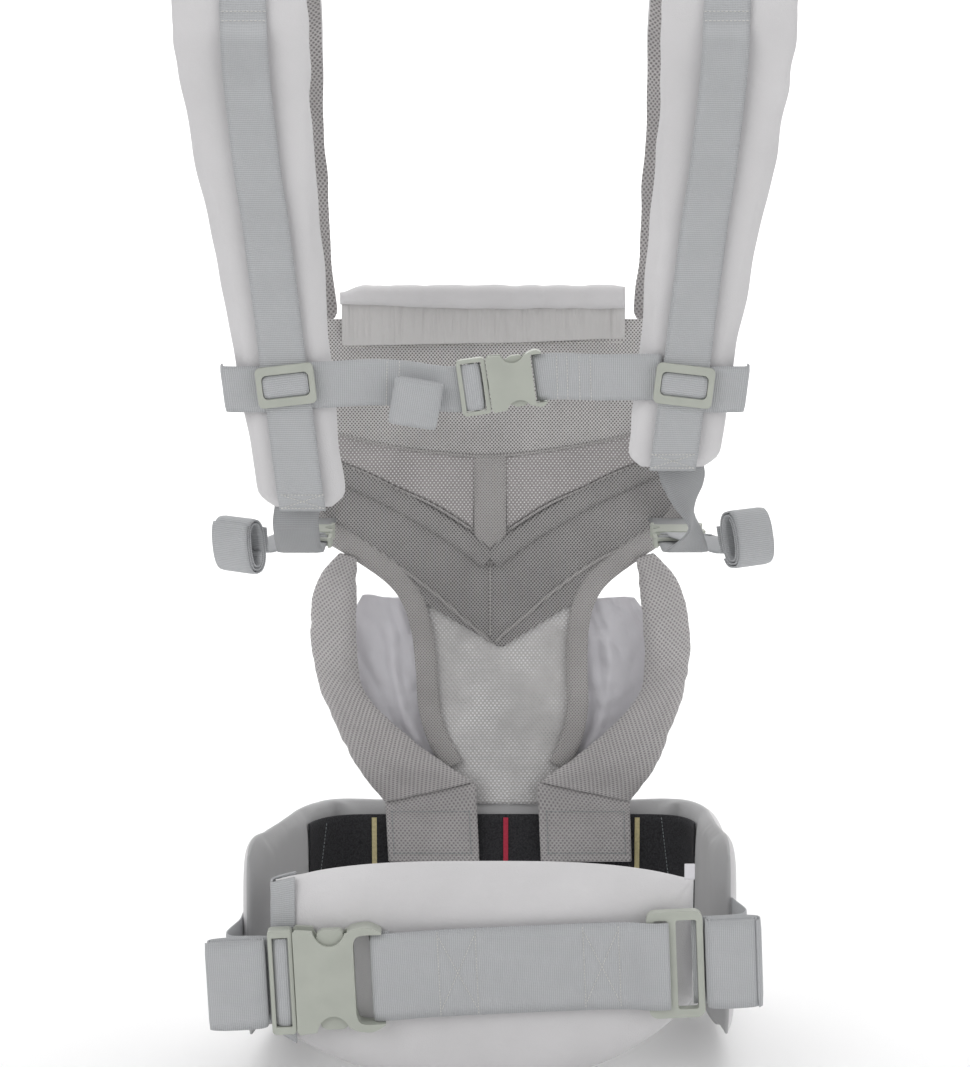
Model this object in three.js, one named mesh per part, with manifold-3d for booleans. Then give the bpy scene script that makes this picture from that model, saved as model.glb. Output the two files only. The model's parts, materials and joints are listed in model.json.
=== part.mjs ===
// Soft baby carrier, shown as worn: two padded shoulder straps, a chest strap, a mesh body panel with
// leg bolsters and a rolled hood, and a padded waist belt that closes over a lumbar pad.
// Millimetres, +Z up. The wearer stands on the Z axis; -Y is the wearer's back, +Y the panel side.
import * as THREE from "three";
import * as BufferGeometryUtils from "three/addons/utils/BufferGeometryUtils.js";
import Module from "manifold-3d";

const wasm = await Module();
wasm.setup();

// ---------------------------------------------------------------- driving dimensions
const GAP = 0.4; // between pieces that touch
const PLAY = 0.6; // between pieces that slide

const WEB = 1.5; // thickness of every webbing
const STRAP_WEB = 25; // width of shoulder, chest and side webbing
const WAIST_WEB = 50; // width of waist webbing

const BACK_Y = -112; // near face of the lumbar pad
const FAR_Y = 96; // wearer-side face of the body panel
const PANEL_THICK = 8;
const FAR_SHIFT = 14; // sideways drift of the far panel, from hood down to belt
const HOOD_Z = 363; // top of the rolled hood
const PANEL_TOP = 345;
const BELT_TOP = 44; // top edge of the belt at the panel
const BELT_BOTTOM = -62;
const BELT_RISE = 0.14; // how fast the belt's top climbs towards the wearer's back
const BELT_THICK = 14;
const BELT_FAR = 112; // outer face of the belt at the panel
const BELT_HALF = 132; // half-width of the belt at its far corners
const BELT_BACK_HALF = 141; // half-width of the belt at its free ends
const BELT_BACK_Y = -86; // how far the belt's wings reach back

const LUMBAR_HALF = 119;
const LUMBAR_TOP = 66;
const LUMBAR_BOTTOM = -66;
const LUMBAR_THICK = 16;
const LUMBAR_DROP = 12; // the pad's top edge falls this much towards its ends
const LUMBAR_LIFT = { left: 34, right: 48 }; // and its bottom edge climbs this much

const STRAP_THICK = 16;
const STRAP_MID = 102; // distance of the strap's middle surface from the wearer's axis
const STRAP_STRAIGHT = 440; // height where the straight part of the strap ends
const STRAP_APEX = 572; // middle of the strap on top of the shoulder
const STRAP_FAR_END = 348;
const FAR_OUT = 9; // the straps spread this much further where they meet the panel
const STRAP_END = { left: 262, right: 284 };
const STRAP_LEAN = 6.6; // degrees, the tilt of the shoulder webbing across the back
const STRAP_X = 106.5; // the webbing's distance from the centre plane at chest height
const CHEST_Z = 331;
const CHEST_TILT = 8; // degrees, the tilt of the chest buckle
const WAIST_TILT = 2.6; // degrees, the tilt of the waist webbing
const WAIST_Z = 5;
const WEB_TOP = 524; // height where the shoulder webbing's upper end is sewn down
const SEWN_END = 9; // length of the sewn lower end of the shoulder webbing

// ---------------------------------------------------------------- materials
const jersey = { color: 0xcbc9cb, roughness: 0.95 };
const liner = { color: 0xd3d2d6, roughness: 0.95 };
const mesh3d = { color: 0xa3a09e, roughness: 1 };
const hoodCloth = { color: 0xb2b0af, roughness: 0.9 };
const webbing = { color: 0xa6abae, roughness: 0.85 };
const acetal = { color: 0xa7aaa0, roughness: 0.45 };
const hookTape = { color: 0x232326, roughness: 0.9 };
const redThread = { color: 0xbe2a3c, roughness: 0.8 };
const creamThread = { color: 0xd6cb98, roughness: 0.8 };
const snapMetal = { color: 0xb9b9b6, roughness: 0.35, metalness: 0.9 };

// ---------------------------------------------------------------- solids
const toSolid = (source) => {
  let geometry = source.index ? source : source.clone();
  geometry.deleteAttribute("normal");
  geometry.deleteAttribute("uv");
  geometry = BufferGeometryUtils.mergeVertices(geometry, 1e-4);
  const vertProperties = new Float32Array(geometry.attributes.position.array);
  const triVerts = new Uint32Array(geometry.index.array);
  return new wasm.Manifold(new wasm.Mesh({ numProp: 3, vertProperties, triVerts }));
};

const toGeometry = (solid) => {
  const data = solid.getMesh();
  const geometry = new THREE.BufferGeometry();
  geometry.setAttribute("position", new THREE.BufferAttribute(data.vertProperties, 3));
  geometry.setIndex(new THREE.BufferAttribute(data.triVerts, 1));
  return geometry;
};

const basis = (x, y, z) => new THREE.Matrix4().makeBasis(
  new THREE.Vector3(...x), new THREE.Vector3(...y), new THREE.Vector3(...z));

const extrude = (points, from, to, matrix) => {
  const outline = points instanceof THREE.Shape ? points : new THREE.Shape(points);
  const geometry = new THREE.ExtrudeGeometry(outline, {
    depth: to - from, bevelEnabled: false, curveSegments: 10,
  });
  geometry.translate(0, 0, from);
  geometry.applyMatrix4(matrix);
  return toSolid(geometry);
};

// An outline seen from the front (x, z) with a depth in Y, one seen from the side (y, z) with a width
// in X, and one seen from above (x, y) with a height in Z.
const frontPlate = (points, y0, y1) => extrude(points, -y1, -y0, basis([1, 0, 0], [0, 0, 1], [0, -1, 0]));
const sidePlate = (points, x0, x1) => extrude(points, x0, x1, basis([0, 1, 0], [0, 0, 1], [1, 0, 0]));
const planPlate = (points, z0, z1) => extrude(points, z0, z1, new THREE.Matrix4());

const box = (x0, x1, y0, y1, z0, z1) => {
  const geometry = new THREE.BoxGeometry(x1 - x0, y1 - y0, z1 - z0);
  geometry.translate((x0 + x1) / 2, (y0 + y1) / 2, (z0 + z1) / 2);
  return toSolid(geometry);
};

const pt = (a, b) => new THREE.Vector2(a, b);
const mirrored = (points) => points.map((p) => pt(-p.x, p.y)).reverse();
const smooth = (points, count) => new THREE.SplineCurve(points).getPoints(count);

const roundedRect = (a0, a1, b0, b1, radius) => {
  const shape = new THREE.Shape();
  const r = Math.min(radius, (a1 - a0) / 2.01, (b1 - b0) / 2.01);
  shape.moveTo(a0 + r, b0);
  shape.lineTo(a1 - r, b0);
  shape.absarc(a1 - r, b0 + r, r, -Math.PI / 2, 0);
  shape.lineTo(a1, b1 - r);
  shape.absarc(a1 - r, b1 - r, r, 0, Math.PI / 2);
  shape.lineTo(a0 + r, b1);
  shape.absarc(a0 + r, b1 - r, r, Math.PI / 2, Math.PI);
  shape.lineTo(a0, b0 + r);
  shape.absarc(a0 + r, b0 + r, r, Math.PI, Math.PI * 1.5);
  return new THREE.Shape(shape.getPoints(4));
};

// A line moved sideways, to the left of the way it runs.
const offsetLine = (points, distance) => points.map((p, i) => {
  const before = points[Math.max(i - 1, 0)];
  const after = points[Math.min(i + 1, points.length - 1)];
  const into = p.clone().sub(before).normalize();
  const out = after.clone().sub(p).normalize();
  const along = into.clone().add(out).normalize();
  const normal = pt(-along.y, along.x);
  const turn = Math.max(Math.abs(i === 0 ? 1 : pt(-into.y, into.x).dot(normal)), 0.5);
  return p.clone().addScaledVector(normal, distance / turn);
});

const band = (points, inner, outer) =>
  offsetLine(points, inner).concat(offsetLine(points, outer).reverse());

const carrier = new THREE.Group();

const addNode = (name, solid, material, parent = carrier) => {
  const node = new THREE.Mesh(toGeometry(solid), new THREE.MeshStandardMaterial(material));
  node.name = name;
  parent.add(node);
  return node;
};

// ---------------------------------------------------------------- far panel, seat and hood
// The far panel's outlines are drawn from its own middle line, which drifts sideways on the way down.
const drift = (z) => (FAR_SHIFT * (HOOD_Z - z)) / (HOOD_Z - BELT_TOP);
const far = (u, z) => pt(u + drift(z), z);
const farPair = (half) => half.map(([u, z]) => far(u, z))
  .concat(half.slice().reverse().filter(([u]) => u !== 0).map(([u, z]) => far(-u, z)));

const mirroredFar = (points) => points.map((p) => pt(2 * drift(p.y) - p.x, p.y)).reverse();

const makePanel = () => {
  const half = [[-84, PANEL_TOP], [-128, PANEL_TOP], [-128, 326], [-119, 290], [-119, 240], [-110, 218],
    [-86, 200], [-60, 184], [-49, 174], [0, 142]];
  addNode("body_panel", frontPlate(farPair(half), FAR_Y, FAR_Y + PANEL_THICK), mesh3d);

  // the padded roll that makes the V under the two open-mesh insets
  const rollMiddle = [[-93, 262], [-60, 240], [-30, 218], [0, 196], [30, 218], [60, 240], [93, 262]]
    .map(([u, z]) => far(u, z));
  addNode("v_support_roll", frontPlate(band(rollMiddle, -5, 5), FAR_Y - GAP - 4, FAR_Y - GAP), mesh3d);

  const seatTop = [[-49.5, 173 - GAP], [0, 141 - GAP]];
  const seat = [...seatTop].reverse().concat([[-47, 140], [-52, 104], [-46, 78], [-28, 56], [-22, 46]]);
  addNode("seat_panel", frontPlate(farPair(seat), FAR_Y, FAR_Y + PANEL_THICK), mesh3d);

  const linerHalf = [[-86, 172], [-56, 168], [-40, 130], [-40, 84], [-16, 60], [-16, 47], [-40, 47],
    [-70, 60], [-96, 96], [-98, 130]].map(([u, z]) => far(u, z));
  const linerY = FAR_Y + PANEL_THICK + GAP;
  addNode("seat_liner_left", frontPlate(linerHalf, linerY, linerY + 3), liner);
  addNode("seat_liner_right", frontPlate(mirroredFar(linerHalf), linerY, linerY + 3), liner);
};

// ---------------------------------------------------------------- leg bolsters
const makeBolster = (side) => {
  const outer = smooth([[-98, 204], [-114, 178], [-117, 146], [-111, 104], [-93, 66], [-75, 43]]
    .map(([u, z]) => far(u, z)), 16);
  const inner = smooth([[-19, 43], [-19, 56], [-41, 72], [-70, 96], [-85, 118], [-88, 157], [-85, 198]]
    .map(([u, z]) => far(u, z)), 16);
  const y0 = FAR_Y - GAP - 15;
  const tabOutline = [far(-75, 43 - GAP), far(-75, 8), far(-19, 8), far(-19, 43 - GAP)];
  const tabBack = FAR_Y - 3;
  const sided = (points) => (side === "left" ? points : mirroredFar(points));
  const crescent = frontPlate(sided([...outer, ...inner]), y0, FAR_Y - GAP);
  addNode(`leg_bolster_${side}`, crescent, mesh3d);
  addNode(`leg_tab_${side}`, frontPlate(sided(tabOutline), tabBack - 4, tabBack), mesh3d);
};

// ---------------------------------------------------------------- hood
const HOOD_SEAM = PANEL_TOP + GAP + 0.4;
const HOOD_HALF = 80;
const makeHood = () => {
  const bandTop = 353;
  const bandOutline = roundedRect(-HOOD_HALF, HOOD_HALF, HOOD_SEAM, bandTop, 2);
  addNode("hood_band", frontPlate(bandOutline, FAR_Y - 9, FAR_Y + 3), hoodCloth);
  const roll = roundedRect(FAR_Y - 13, FAR_Y + 7, bandTop + GAP, HOOD_Z + 2, 5);
  addNode("hood_roll", sidePlate(roll, -HOOD_HALF - 2, HOOD_HALF + 2), jersey);
};

// ---------------------------------------------------------------- waist belt
const beltShift = (y) => (FAR_SHIFT * 0.85 * (y - BELT_BACK_Y)) / (BELT_FAR - BELT_BACK_Y) + 2;
const beltLine = () => {
  const path = new THREE.Path();
  path.moveTo(-BELT_BACK_HALF, BELT_BACK_Y);
  path.lineTo(-BELT_HALF, 60);
  path.quadraticCurveTo(-BELT_HALF + 6, BELT_FAR, -BELT_HALF + 46, BELT_FAR);
  path.lineTo(BELT_HALF - 46, BELT_FAR);
  path.quadraticCurveTo(BELT_HALF - 6, BELT_FAR, BELT_HALF, 60);
  path.lineTo(BELT_BACK_HALF, BELT_BACK_Y);
  return path.getPoints(7).map((p) => pt(p.x + beltShift(p.y), p.y));
};
const beltTop = (y) => BELT_TOP + (BELT_FAR - y) * BELT_RISE;
const BELT_WIDE = 200; // half-width of the blocks that trim the belt
// The belt is cut from a tall band by its side outline, whose top climbs towards the back.
const beltBand = (inner, outer, below, bottom, backY) => {
  const line = beltLine();
  const tall = planPlate(band(line, -inner, -outer), BELT_BOTTOM - 5, 110);
  const side = [pt(backY, bottom), pt(140, bottom), pt(140, beltTop(140) - below),
    pt(backY, beltTop(backY) - below)];
  return tall.intersect(sidePlate(side, -BELT_WIDE, BELT_WIDE));
};

const STRIP_THICK = 1.2;
const MARK_SPREAD = 82;
const markOn = (u, half, height) => {
  const y1 = BELT_FAR - BELT_THICK - 2 * GAP - STRIP_THICK;
  const x = u + beltShift(y1);
  return box(x - half, x + half, y1 - 0.8, y1, -14, beltTop(y1) - 12 - height);
};
const makeBelt = () => {
  addNode("waist_belt", beltBand(0, BELT_THICK, 0, BELT_BOTTOM, -200), jersey);
  const inner = BELT_THICK + GAP;
  addNode("hook_strip", beltBand(inner, inner + STRIP_THICK, 12, -20, 58), hookTape);
  addNode("centre_mark", markOn(0, 1.5, 1), redThread);
  addNode("width_mark_left", markOn(-MARK_SPREAD, 1.5, 1), creamThread);
  addNode("width_mark_right", markOn(MARK_SPREAD, 1.5, 1), creamThread);
};

// ---------------------------------------------------------------- lumbar pad
const lumbarOutline = () => {
  const steps = 16;
  const top = [];
  const bottom = [];
  for (let i = 0; i <= steps; i += 1) {
    const share = (2 * i) / steps - 1;
    const x = share * LUMBAR_HALF;
    top.push(pt(x, LUMBAR_TOP - LUMBAR_DROP * Math.abs(share) ** 3));
    const lift = share < 0 ? LUMBAR_LIFT.left : LUMBAR_LIFT.right;
    bottom.push(pt(x, LUMBAR_BOTTOM + lift * Math.abs(share) ** 2.6));
  }
  return bottom.concat(top.reverse());
};
const makeLumbar = () => {
  const pad = frontPlate(lumbarOutline(), BACK_Y, BACK_Y + LUMBAR_THICK);
  const sleeveX = -LUMBAR_HALF + 14;
  // the binding wraps the pad's left end, so the pad is narrowed there
  const sleeveZone = box(-200, sleeveX, BACK_Y - 5, BACK_Y + LUMBAR_THICK + 5, -200, 200);
  const bare = pad.subtract(sleeveZone);
  const bound = pad.intersect(box(-200, sleeveX - GAP, -300, 0, -200, 200));
  addNode("lumbar_pad", bare, jersey);
  addNode("lumbar_sleeve_left", bound, webbing);
  const tagX = LUMBAR_HALF - 6;
  const tagOutline = roundedRect(tagX - 3, tagX + 3, LUMBAR_TOP - 10, LUMBAR_TOP - 1, 2);
  addNode("loop_tag", frontPlate(tagOutline, BACK_Y - GAP - 1, BACK_Y - GAP), liner);
};

// ---------------------------------------------------------------- side-release buckles
// Local frame: x = 0 where the plug's ladder frame (-x) meets the socket's body (+x), z across the
// webbing, y through the thickness with the face at -y. The plug's arms show in the socket's windows.
const buckleSizes = ({ web, rim, thick, frame, body, horn, curve, depth, bar }) => ({
  web,
  thick,
  curve, // of the hollow between the horns
  half: web / 2 + rim,
  plate: thick * 0.2,
  frame, // length of the plug's ladder frame
  body, // length of the socket's body
  end: body + horn, // tip of the horns beside the webbing
  bar, // the bar between the horns, from and to
  winFrom: body * 0.32,
  winTo: body * 0.9,
  depth, // of the finger windows
  rail: thick * 0.36,
});

const ellipse = (cx, cz, rx, rz) => {
  const points = [];
  for (let i = 0; i < 36; i += 1) {
    const a = (i / 36) * 2 * Math.PI;
    points.push(pt(cx + Math.cos(a) * rx, cz + Math.sin(a) * rz));
  }
  return points;
};

const socketSolid = (b) => {
  const { half, thick, plate } = b;
  const horn = b.end - b.body;
  const inset = b.web / 2 + PLAY; // the horns stand just outside the webbing
  const shoulder = smooth([pt(b.body, inset - b.curve * 1.3), pt(b.body + b.curve * 0.25, inset - b.curve * 0.4),
    pt(b.body + b.curve, inset), pt(b.end, inset)], 9);
  const outer = smooth([pt(b.end, inset + 0.8), pt(b.body + horn * 0.55, half), pt(b.body, half * 0.97),
    pt(b.winTo, half * 0.9)], 9);
  const upper = shoulder.concat(outer, [pt(b.winFrom, half * 0.97), pt(1.5, half), pt(0, half - 1.5)]);
  const lower = upper.map((p) => pt(p.x, -p.y)).reverse();
  let solid = frontPlate(lower.concat(upper), -thick / 2, thick / 2);
  const inner = thick / 2 - plate;
  // hollow for the plug, open at the mouth and at the sides as far as the windows
  solid = solid.subtract(box(-9, b.body - 3, -inner, inner, -half + 2.5, half - 2.5));
  solid = solid.subtract(box(-9, b.winTo, -inner, inner, -99, 99));
  for (const side of [-1, 1]) {
    const middle = (b.winFrom + b.winTo) / 2;
    const window = ellipse(middle, side * (half + 2), middle - b.winFrom, b.depth + 2);
    solid = solid.subtract(frontPlate(window, -thick, thick));
  }
  const [barFrom, barTo, barLow, barHigh] = b.bar;
  const bar = box(b.body + barFrom, b.body + barTo, barLow, barHigh, -inset - 1, inset + 1);
  const tie = box(b.body - 1, b.body + barTo, barLow, barHigh, inset, inset + 1.2);
  const tieBelow = box(b.body - 1, b.body + barTo, barLow, barHigh, -inset - 1.2, -inset);
  return solid.add(bar).add(tie).add(tieBelow);
};

const ARM_PLAY = 0.8;
const plugSolid = (b) => {
  const inner = b.thick / 2 - b.plate - PLAY;
  const slot = b.web / 2 + PLAY;
  const rim = 2.4;
  const ladder = frontPlate(roundedRect(-b.frame, 0 - GAP, -b.half, b.half, 2.4), -b.rail, b.rail);
  let solid = ladder.subtract(box(rim - b.frame, -rim - GAP, -99, 99, -slot, slot));
  // the webbing passes behind the outer bar and over the middle bar
  solid = solid.subtract(box(-b.frame - 1, rim - b.frame + 1, -WEB / 2 - GAP, 99, -slot, slot));
  const mid = -b.frame / 2;
  solid = solid.add(box(mid - 1.6, mid + 1.6, WEB / 2 + GAP, b.rail, -slot - 1, slot + 1));
  return solid.add(box(-rim, b.body * 0.55, -inner * 0.8, inner * 0.8, -b.half * 0.16, b.half * 0.16));
};

// One arm of the plug, with its button head standing in the socket's window.
const armSolid = (b, side) => {
  const inner = b.thick / 2 - b.plate - PLAY;
  const armMid = b.half * 0.5;
  const armHalf = b.half * 0.08;
  const from = b.winFrom + ARM_PLAY;
  const to = b.winTo - ARM_PLAY;
  const crown = b.half - 1.4;
  const outline = [pt(GAP, armMid - armHalf), pt(to, armMid - armHalf), pt(to, armMid + armHalf),
    pt(to - 1, crown - 1.6), pt(to - 3, crown), pt(from + 5, crown), pt(from + 2, crown - 1.6),
    pt(from, armMid + armHalf), pt(GAP, armMid + armHalf)];
  const placed = side > 0 ? outline : outline.map((p) => pt(p.x, -p.y)).reverse();
  return frontPlate(placed, -inner, inner);
};

const addBuckle = (name, b, parent) => {
  addNode(`${name}_socket`, socketSolid(b), acetal, parent);
  addNode(`${name}_plug`, plugSolid(b), acetal, parent);
  addNode(`${name}_arm_a`, armSolid(b, 1), acetal, parent);
  addNode(`${name}_arm_b`, armSolid(b, -1), acetal, parent);
};

// A webbing end rolled up flat: a rounded prism as wide as the webbing.
const rollSolid = (length, thick, web) => extrude(
  roundedRect(-length / 2, length / 2, -thick / 2, thick / 2, thick / 2),
  -web / 2, web / 2, new THREE.Matrix4());

// ---------------------------------------------------------------- waist fastening
const WAIST_BUCKLE_THICK = 12;
const WAIST_Y = BACK_Y - GAP - 1.4 - WAIST_BUCKLE_THICK / 2;
const waistBuckle = buckleSizes({
  web: WAIST_WEB, rim: 5, thick: WAIST_BUCKLE_THICK, frame: 14, body: 33, horn: 16, curve: 5, depth: 10,
  bar: [11, 13.6, -0.9, 1.4],
});
const WAIST_BUCKLE_X = -105;
const WAIST_ADJUSTER_X = 105;
const makeWaist = () => {
  const group = new THREE.Group();
  group.position.set(0, WAIST_Y, WAIST_Z);
  group.rotation.y = THREE.MathUtils.degToRad(-WAIST_TILT);
  carrier.add(group);
  const buckle = new THREE.Group();
  buckle.position.x = WAIST_BUCKLE_X;
  group.add(buckle);
  addBuckle("waist_buckle", waistBuckle, buckle);

  // the webbing across the pad runs from the plug's loop to the adjuster's inner bar
  const half = WAIST_WEB / 2;
  const barX = WAIST_ADJUSTER_X - 11.5;
  // folded round the socket's bar, then across the front of the pad
  const foldX = WAIST_BUCKLE_X + waistBuckle.body + 12.4;
  const fold = [];
  for (let i = 0; i <= 8; i += 1) {
    const a = Math.PI * (0.5 + i / 8);
    fold.push(pt(foldX + Math.cos(a) * 3, 0.2 - Math.sin(-a) * 2.8));
  }
  const middle = [pt(foldX + 9, 3), ...fold, pt(foldX + 6, -2.6), pt(foldX + 16, -1),
    pt(foldX + 30, 1), pt(barX - 14, 1), pt(barX - 6, -5.2), pt(barX + 4, -5.2)];
  const crossing = planPlate(band(middle, -WEB / 2, WEB / 2), -half, half);
  addNode("waist_webbing", crossing, webbing, group);

  // adjuster: a ladder frame with three bars
  const a = WAIST_ADJUSTER_X;
  const slot = half + PLAY;
  let frame = frontPlate(roundedRect(a - 15, a + 16, -half - 5.5, half + 5.5, 5), -3, 3);
  for (const [from, to] of [[a - 11.5, a - 3.5], [a + 1, a + 12.5]]) {
    frame = frame.subtract(frontPlate(roundedRect(from, to, -slot, slot, 1.5), -9, 9));
  }
  addNode("waist_adjuster", frame, acetal, group);

  // belt ends: from the belt's wings to the ladders on both sides
  const rollX = 137;
  const tailY = 3 + WEB; // the webbing runs behind the ladders' outer bars
  for (const side of [-1, 1]) {
    const roll = rollSolid(30, 12, WAIST_WEB);
    const name = `waist_roll_${side < 0 ? "left" : "right"}`;
    addNode(name, roll, webbing, group).position.set(side * rollX, tailY - WEB - 6.6, 0);
  }
  // the belt's own webbing leaves the outside of its wing and turns in behind the roll
  const wing = (y) => THREE.MathUtils.mapLinear(y, BELT_BACK_Y, 60, BELT_BACK_HALF, BELT_HALF);
  const tail = (sign, start) => {
    const outside = (y) => pt(sign * (wing(y) + 3.4) + beltShift(y), y - WAIST_Y);
    const line = [...start, pt(sign * (rollX - 4), tailY), pt(sign * (rollX + 3), tailY + 4),
      outside(BELT_BACK_Y - 4), outside(BELT_BACK_Y + 16)];
    return planPlate(band(line, -WEB / 2, WEB / 2), -half, half);
  };
  const plugX = WAIST_BUCKLE_X - waistBuckle.frame;
  const threaded = [pt(WAIST_BUCKLE_X - 3.4, 0), pt(plugX - 1, 0), pt(plugX - 4, tailY)];
  addNode("waist_webbing_left", tail(-1, threaded), webbing, group);
  addNode("waist_webbing_right", tail(1, [pt(a + 6, tailY)]), webbing, group);
};

// ---------------------------------------------------------------- shoulder straps
const strapProfile = (end, distance, farEnd) => {
  const points = [pt(-STRAP_MID, end)];
  const steps = 18;
  for (let i = 0; i <= steps; i += 1) {
    const angle = Math.PI * (1 - i / steps);
    points.push(pt(Math.cos(angle) * STRAP_MID,
      STRAP_STRAIGHT + Math.sin(angle) * (STRAP_APEX - STRAP_STRAIGHT)));
  }
  points.push(pt(STRAP_MID, farEnd));
  return offsetLine(points, distance);
};
const strapSheet = (end, farEnd, inner, outer) => strapProfile(end, inner, farEnd)
  .concat(strapProfile(end, outer, farEnd).reverse());

const LEAN = Math.tan(THREE.MathUtils.degToRad(STRAP_LEAN));
// the webbing's middle, seen from the back, at a height
const webX = (z) => {
  const straight = STRAP_X + (Math.min(z, 420) - CHEST_Z) * LEAN;
  const above = Math.max(z - 420, 0);
  return straight + above * 0.15 - (above * above) / 3000;
};
const padHalf = (z) => THREE.MathUtils.mapLinear(THREE.MathUtils.clamp(z, 262, 520), 262, 520, 24.5, 38);
const padShift = (z) => THREE.MathUtils.mapLinear(THREE.MathUtils.clamp(z, 262, 480), 262, 480, 0, 2);

const frontOutline = (low, high, middle, half) => {
  const left = [];
  const right = [];
  for (let z = low; z < high + 0.1; z += (high - low) / 12) {
    left.push(pt(middle(z) - half(z), z));
    right.push(pt(middle(z) + half(z), z));
  }
  return left.concat(right.reverse());
};

const LIFT = 4; // the shoulder webbing runs free of the pad, so that the chest strap passes under it
const padFace = STRAP_THICK / 2;
const webInner = padFace + LIFT;

const makeStrap = (side) => {
  const sign = side === "left" ? -1 : 1;
  const end = STRAP_END[side];
  const wide = 220;
  const top = STRAP_APEX + 20;
  const outlineOf = (low, middle, half) => {
    const right = frontOutline(low, top, middle, half);
    return sign > 0 ? right : mirrored(right);
  };
  const sheet = (low, high, inner, outer) => sidePlate(strapSheet(low, high, inner, outer), -wide, wide);
  const padMiddle = (z) => webX(z) + padShift(z);
  const farMiddle = (z) => padMiddle(z) + FAR_OUT * (1 - (Math.min(z, STRAP_APEX - 8) - STRAP_FAR_END)
    / (STRAP_APEX - 8 - STRAP_FAR_END));
  const whole = sheet(end, STRAP_FAR_END, -padFace, padFace);
  const near = whole.intersect(frontPlate(outlineOf(end - 10, padMiddle, padHalf), -200, 0));
  const beyond = whole.intersect(frontPlate(outlineOf(STRAP_FAR_END - 4, farMiddle, padHalf), -0.01, 200));
  const pad = near.add(beyond);
  addNode(`shoulder_strap_${side}`, pad, jersey);

  // the webbing runs free between two ends that are folded and sewn down on the pad
  const face = (half) => frontPlate(outlineOf(end - 5, webX, () => half), -200, 0);
  const level = (low, high) => box(-wide, wide, -200, 0, low, high);
  const ribbon = sheet(end, STRAP_FAR_END, webInner, webInner + WEB)
    .intersect(face(STRAP_WEB / 2)).intersect(level(end, WEB_TOP));
  const folded = sheet(end, STRAP_FAR_END, padFace + GAP, webInner + WEB).intersect(face(STRAP_WEB / 2 + 1));
  const sewn = folded.intersect(level(end, end + SEWN_END)).add(folded.intersect(level(WEB_TOP, WEB_TOP + 9)));
  addNode(`shoulder_webbing_${side}`, ribbon.add(sewn), webbing);
};

// ---------------------------------------------------------------- chest strap
const chestY = -STRAP_MID - padFace; // near face of the pads
const CHEST_WEB_Y = [chestY - 2.2 - WEB, chestY - 2.2];
const WRAP_ROOM = 5; // lets the wrap travel up to where the pad is wider
const SLIDER_FRONT = chestY - LIFT - WEB - 0.3;
const makeSlider = (side) => {
  const sign = side === "left" ? -1 : 1;
  const group = new THREE.Group();
  group.position.set(sign * STRAP_X, 0, CHEST_Z);
  group.rotation.y = THREE.MathUtils.degToRad(sign * STRAP_LEAN);
  carrier.add(group);
  const halfX = STRAP_WEB / 2 + 3.2;
  let frame = frontPlate(roundedRect(-halfX, halfX, -11, 11, 3), SLIDER_FRONT - 3, SLIDER_FRONT);
  const slot = roundedRect(-STRAP_WEB / 2, STRAP_WEB / 2, -6.4, 6.4, 2.5);
  frame = frame.subtract(frontPlate(slot, SLIDER_FRONT - 9, SLIDER_FRONT + 9));
  const earBack = CHEST_WEB_Y[0] - 0.3;
  for (const x of [-1, 1]) {
    const from = x < 0 ? -halfX : halfX - 2.8;
    frame = frame.add(box(from, from + 2.8, SLIDER_FRONT - 1, earBack, -7, 7));
  }
  addNode(`chest_slider_${side}`, frame, acetal, group);

  // the strap wrap: webbing from under the slider, round the outer edge of the pad
  const outer = padHalf(CHEST_Z) + padShift(CHEST_Z) + WRAP_ROOM;
  const start = sign * 11;
  const y = (CHEST_WEB_Y[0] + CHEST_WEB_Y[1]) / 2;
  const path = [pt(start, y), pt(sign * (outer - 4), y), pt(sign * (outer - 1), y + 2), pt(sign * outer, y + 6),
    pt(sign * outer, y + 15)];
  const wrap = planPlate(band(path, -WEB / 2, WEB / 2), -STRAP_WEB / 2, STRAP_WEB / 2);
  addNode(`strap_wrap_${side}`, wrap, webbing, group);
};

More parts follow.
